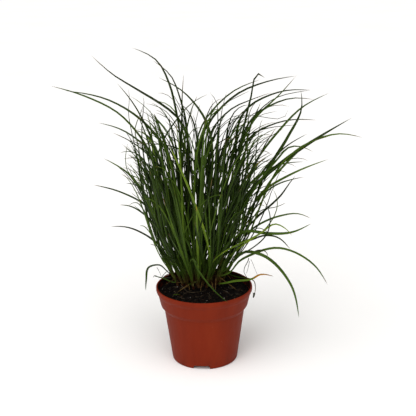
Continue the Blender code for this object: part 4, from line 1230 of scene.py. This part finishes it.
def stem_rings(shoot):
    """The rings of points of the rolled sheaths in the middle of a shoot, from the soil to its top."""
    across = unit(np.cross(shoot["way"], [0.0, 1.0, 0.0]))
    along = np.cross(shoot["way"], across)
    turns = np.linspace(0.0, 2.0 * math.pi, STEM_SIDES + 1)
    sides = [(share, 1.0) for share in np.linspace(STEM_LOW, STEM_HIGH, STEM_RINGS)]
    levels = [(STEM_LOW, 0.0), *sides, *STEM_TOP_RINGS]
    rings = []
    for share, full in levels:
        radius = (stem_radius(share) - STEM_INSET) * full
        ridge = radius * (1.0 + STEM_RIDGE_HEIGHT * np.sin(STEM_RIDGES * turns + shoot["number"]))
        middle = shoot["foot"] + shoot["way"] * shoot["length"] * share
        circle = np.outer(np.cos(turns) * ridge, across) + np.outer(np.sin(turns) * ridge, along)
        rings.append(middle + circle)
    rings = np.array(rings)
    rings[:, -1] = rings[:, 0]
    return rings, np.zeros(len(levels)), np.ones(len(levels))


def new_grass_mesh():
    """An empty mesh with the UV maps and values that the leaf material and the bake read."""
    bm = bmesh.new()
    layers = {name: bm.loops.layers.uv.new(name) for name in ("OFBake", "blade")}
    for name in LEAF_VALUES:
        layers[name] = bm.verts.layers.float.new(name)
    return bm, layers


def add_strip(bm, layers, rings, shares, wraps, strip, tone_and_painted_shade, dry):
    """A grid wrapped to a tube whose rings of points are given, with its own strip of the bake map."""
    rows = rings.shape[0] - 1
    columns = rings.shape[1] - 1
    made = bmesh.ops.create_grid(bm, x_segments=columns, y_segments=rows, size=1.0)["verts"]
    spots = {v: (round((v.co.y + 1.0) / 2.0 * rows), round((v.co.x + 1.0) / 2.0 * columns)) for v in made}
    for vert, (i, j) in spots.items():
        vert.co = rings[i, j] * MM
        vert[layers["tone_and_painted_shade"]] = tone_and_painted_shade
        vert[layers["dry"]] = dry
        vert[layers["wrap"]] = wraps[i]
        vert[layers["height"]] = rings[i, j, 2] - SOIL_EDGE_Z
    run = np.concatenate([[0.0], np.cumsum(np.linalg.norm(np.diff(rings.mean(axis=1), axis=0), axis=1))])
    for face in {f for v in made for f in v.link_faces}:
        for loop in face.loops:
            i, j = spots[loop.vert]
            loop[layers["blade"]].uv = (j / columns, shares[i])
            x = strip[0] + (strip[1] - strip[0]) * j / columns
            loop[layers["OFBake"]].uv = (x, BAKE_EDGE + (1.0 - 2.0 * BAKE_EDGE) * run[i] / run[-1])


def make_grass_piece(name, bm, finish, solid):
    bmesh.ops.remove_doubles(bm, verts=bm.verts, dist=1e-6)
    bmesh.ops.recalc_face_normals(bm, faces=bm.faces)
    piece = new_piece(name, bm, finish)
    smooth_by_angle(piece, LEAF_EDGE_ANGLE)
    attach(piece, "grass", solid)


def living_grass_leaf():
    """Living grass: a dark green, half-gloss cuticle over fine parallel veins, with a pale keel that is
    partly the paler midrib and partly a painted highlight, a brown stain on the old sheaths at the soil,
    yellower patches and dry tips."""
    finish, tree, shader, place = new_finish("living_grass_leaf")
    add = {"operation": "ADD"}
    multiply = {"operation": "MULTIPLY"}
    blade_map = node(tree, "UVMap", {}, uv_map="blade")
    across, along = (node(tree, "SeparateXYZ", {"Vector": blade_map}, out=out) for out in (0, 1))
    tone_and_painted_shade, dry, wrap, height = (node(tree, "Attribute", {}, out=2, attribute_name=n) for n in LEAF_VALUES)
    # distance from the keel: 0 on it and 0.5 at both edges, on the upper and the lower side alike
    sides = node(tree, "Math", {0: across, 1: 2.0}, **multiply)
    side = node(tree, "Math", {0: sides}, operation="FRACT")
    fold = node(tree, "Math", {0: side, 1: 0.5}, operation="SUBTRACT")
    fold = node(tree, "Math", {0: fold}, operation="ABSOLUTE")
    # streaks that run along the blade, a quarter of a millimetre wide and some 30 mm long
    streak_place = node(tree, "CombineXYZ", {"X": fold, "Y": along, "Z": tone_and_painted_shade})
    streak_place = node(tree, "Mapping", {"Vector": streak_place, "Scale": (13.0, 9.0, 60.0)})
    streak = node(tree, "TexNoise", {"Vector": streak_place, "Scale": 1.0, "Detail": 3.0})
    patch = node(tree, "TexNoise", {"Vector": place, "Scale": 35.0, "Detail": 2.0})
    streak_part = node(tree, "Math", {0: streak, 1: 0.5, 2: -0.25}, operation="MULTIPLY_ADD")
    patch_part = node(tree, "Math", {0: patch, 1: 0.35, 2: -0.175}, operation="MULTIPLY_ADD")
    # the tone is partly the leaf's own tone and partly painted shade, darker on the leaves of the inner
    # shoots
    shade = node(tree, "Math", {0: tone_and_painted_shade, 1: streak_part}, **add)
    shade = node(tree, "Math", {0: shade, 1: patch_part}, **add)
    greens = ((0.0, "#0c1303"), (0.35, "#1e2d0a"), (0.65, "#3e5516"), (0.85, "#6a8224"), (1.0, "#969c32"))
    green = node(tree, "ValToRGB", {"Fac": shade}, stops=greens)
    # a pale band along the keel on both sides: partly the paler midrib, partly a painted highlight where the
    # fold catches the light
    keel = node(tree, "MapRange", {"Value": fold, "From Min": 0.12, "From Max": 0.0, "To Max": 0.35})
    green = node(tree, "Mix", {0: keel, 6: green, 7: rgb("#5c7a2a")}, out=2, data_type="RGBA")
    # the lowest 70 mm and the sheaths, shaded and young, are paler
    low = node(tree, "MapRange", {"Value": height, "From Min": 70.0, "From Max": 8.0, "To Max": 0.4})
    green = node(tree, "Mix", {0: low, 6: green, 7: rgb("#3c5616")}, out=2, data_type="RGBA")
    pale = node(tree, "Math", {0: wrap, 1: 0.45}, **multiply)
    green = node(tree, "Mix", {0: pale, 6: green, 7: rgb("#56682a")}, out=2, data_type="RGBA")
    # old leaves dry to a dull straw brown, a young one to gold
    straws = ((0.3, "#3a2c16"), (0.6, "#66512c"), (0.8, "#947a44"))
    straw = node(tree, "ValToRGB", {"Fac": streak}, stops=straws)
    golds = ((0.35, "#5e3e10"), (0.6, "#a87820"))
    gold = node(tree, "ValToRGB", {"Fac": patch}, stops=golds)
    young = node(tree, "MapRange", {"Value": tone_and_painted_shade, "From Min": 0.66, "From Max": 0.72})
    straw = node(tree, "Mix", {0: young, 6: straw, 7: gold}, out=2, data_type="RGBA")
    ragged = node(tree, "Math", {0: streak, 1: 0.1, 2: -0.05}, operation="MULTIPLY_ADD")
    reach = node(tree, "Math", {0: along, 1: ragged}, **add)
    reach = node(tree, "Math", {0: reach, 1: dry}, **add)
    dead = node(tree, "MapRange", {"Value": reach, "From Min": 0.98, "From Max": 1.05})
    leaf = node(tree, "Mix", {0: dead, 6: green, 7: straw}, out=2, data_type="RGBA")
    # the old sheaths are stained brown at the soil, which fades out 20 to 30 mm above it
    cloud = node(tree, "TexNoise", {"Vector": place, "Scale": 120.0, "Detail": 3.0})
    uneven = node(tree, "Math", {0: cloud, 1: 26.0, 2: height}, operation="MULTIPLY_ADD")
    stain = node(tree, "MapRange", {"Value": uneven, "From Min": 40.0, "From Max": 19.0})
    stain = node(tree, "Math", {0: stain, 1: wrap}, **multiply)
    browns = ((0.3, "#26120a"), (0.5, "#3e2012"), (0.62, "#563c24"), (0.75, "#847650"))
    brown = node(tree, "ValToRGB", {"Fac": cloud}, stops=browns)
    leaf = node(tree, "Mix", {0: stain, 6: leaf, 7: brown}, out=2, data_type="RGBA")
    # veins 0.2 mm apart
    veins = node(tree, "Math", {0: fold, 1: 90.0}, **multiply)
    veins = node(tree, "Math", {0: veins}, operation="SINE")
    cells = node(tree, "TexNoise", {"Vector": place, "Scale": 2500.0, "Detail": 1.0})
    relief = node(tree, "Math", {0: veins, 1: cells}, **add)
    bump = node(tree, "Bump", {"Height": relief, "Strength": 0.25, "Distance": 0.0001})
    glosses = {"From Min": 0.3, "From Max": 0.7, "To Min": 0.42, "To Max": 0.58}
    gloss = node(tree, "MapRange", {"Value": streak, **glosses})
    fill(tree, shader, {"Base Color": leaf, "Roughness": gloss, "Normal": bump})
    fill(tree, shader, {"IOR": 1.42, "Specular IOR Level": 0.1})
    return finish


def look_with_painted_shade(shoot, rng):
    """Tone, dry share and bluntness of a leaf: leaves of the inner shoots get a darker tone and the outer
    ones a lighter one, as painted shade of the clump's core, with a random spread.
    """
    middle = PAINTED_SHADE_CORE_TONE + PAINTED_LIGHT_OUTWARD_TONE * math.hypot(*shoot["spot"])
    tone_and_painted_shade = float(np.clip(rng.normal(middle, TONE_SPREAD), 0.0, MOST_TONE))
    return tone_and_painted_shade, float(DRY_TIP[0] + DRY_TIP[1] * rng.uniform() ** 2), 0.0


def make_grass(finish):
    rng = np.random.default_rng(LOOK_SEED)
    for shoot in grow_clump():
        bm, layers = new_grass_mesh()
        width = 1.0 / (len(shoot["leaves"]) + 1)
        stem_dry = DEAD_STEM_DRY if rng.uniform() < DEAD_STEM_SHARE else 0.0
        strip = (BAKE_EDGE, width - BAKE_EDGE)
        add_strip(bm, layers, *stem_rings(shoot), strip, rng.uniform(*STEM_TONE), stem_dry)
        for index, leaf in enumerate(shoot["leaves"], 1):
            usual = look_with_painted_shade(shoot, rng)
            tone_and_painted_shade, dry, leaf["blunt"] = leaf["look"] or usual
            strip = (index * width + BAKE_EDGE, (index + 1) * width - BAKE_EDGE)
            add_strip(bm, layers, *leaf_rings(shoot, leaf, rng), strip, tone_and_painted_shade, dry)
        name = f"shoot_{shoot['number'] + 1:02d}"
        make_grass_piece("grass_" + name, bm, finish, name)


# The single short blade: a seedling's leaf that stands by itself at the front left of the soil,
# with its short sheath, made as the leaves of the shoots are.
SHORT_BLADE_FOOT = (-30.0, -22.0)
SHORT_BLADE_TIP = (-38.0, -31.0)
SHORT_BLADE_LIFT = 2.0
SHORT_BLADE_RISE = 4.5
SHORT_BLADE_WAY = (-0.4, -0.4, 0.8)
SHORT_BLADE_WIDTH = 1.8
SHORT_BLADE_TWIST = 0.4
SHORT_BLADE_RINGS = 4
SHORT_BLADE_SHEATH = 6.0
SHORT_BLADE_TONE = 0.75
SHORT_BLADE_DRY = 0.03
SHORT_BLADE_STRIP = (0.1, 0.9)
SHORT_BLADE_SEED = 3


def make_short_blade(finish):
    start = np.array([*SHORT_BLADE_FOOT, soil_height(*SHORT_BLADE_FOOT) + SHORT_BLADE_LIFT])
    tip = np.array([*SHORT_BLADE_TIP, start[2] + SHORT_BLADE_RISE])
    course = ([start, tip], unit(np.array(SHORT_BLADE_WAY)), None)
    path = smooth_path(*course, SHORT_BLADE_RINGS)
    way = unit(path[1] - path[0])
    shoot = {"foot": start - way * SHORT_BLADE_SHEATH, "way": way, "length": SHORT_BLADE_SHEATH}
    leaf = {**new_leaf(course, SHORT_BLADE_WIDTH, SHORT_BLADE_TWIST, 1.0, None), "path": path, "blunt": 0.0}
    bm, layers = new_grass_mesh()
    rings = leaf_rings(shoot, leaf, np.random.default_rng(SHORT_BLADE_SEED))
    add_strip(bm, layers, *rings, SHORT_BLADE_STRIP, SHORT_BLADE_TONE, SHORT_BLADE_DRY)
    make_grass_piece("single_short_blade", bm, finish, "short_blade")


grass_finish = living_grass_leaf()
make_grass(grass_finish)
make_short_blade(grass_finish)


# Dead threads: withered leaf tips, dark and rolled up, that hang from the low leaves beside the pot.
# Each row is a thread's width and the points (x, y, z) that it passes.
DEAD_THREADS = (
    (1.1, ((56, 2, 130), (55, 2, 125), (51, 2, 120), (50, 2, 114), (50, 2, 110), (53, 2, 106), (55, 2, 102))),
    (0.8, ((57, 5, 125), (56, 5, 119), (55, 5, 113), (53, 5, 109))),
    (0.6, ((59, 5, 127), (62, 5, 120), (65, 5, 112), (67, 5, 106))),
    (1.5, ((60, 0, 138), (65, 0, 141), (71, 0, 142), (76, 0, 140), (79, 0, 137), (79, 0, 134))),
    (3.0, ((63, 5, 82), (63, 5, 80), (62.6, 5, 78), (62, 5, 76))),
    (1.3, ((-42, 10, 102), (-53, 10, 102), (-58, 10, 103), (-60, 10, 105), (-63, 10, 106), (-64, 10, 103))),
    (0.7, ((-59, 8, 117), (-56, 8, 112), (-54, 8, 105))),
    (1.0, ((-53, 8, 104), (-50, 8, 109), (-45, 8, 113))),
    (1.0, ((-52, 14, 101), (-48, 14, 105), (-44, 14, 107), (-39, 14, 106))),
)
threads = [strand(points, thickness) for thickness, points in DEAD_THREADS]
joined("dead_threads", threads, dead_fibre("dry_leaf_thread", "#15180a", "#3c4020"), "grass")
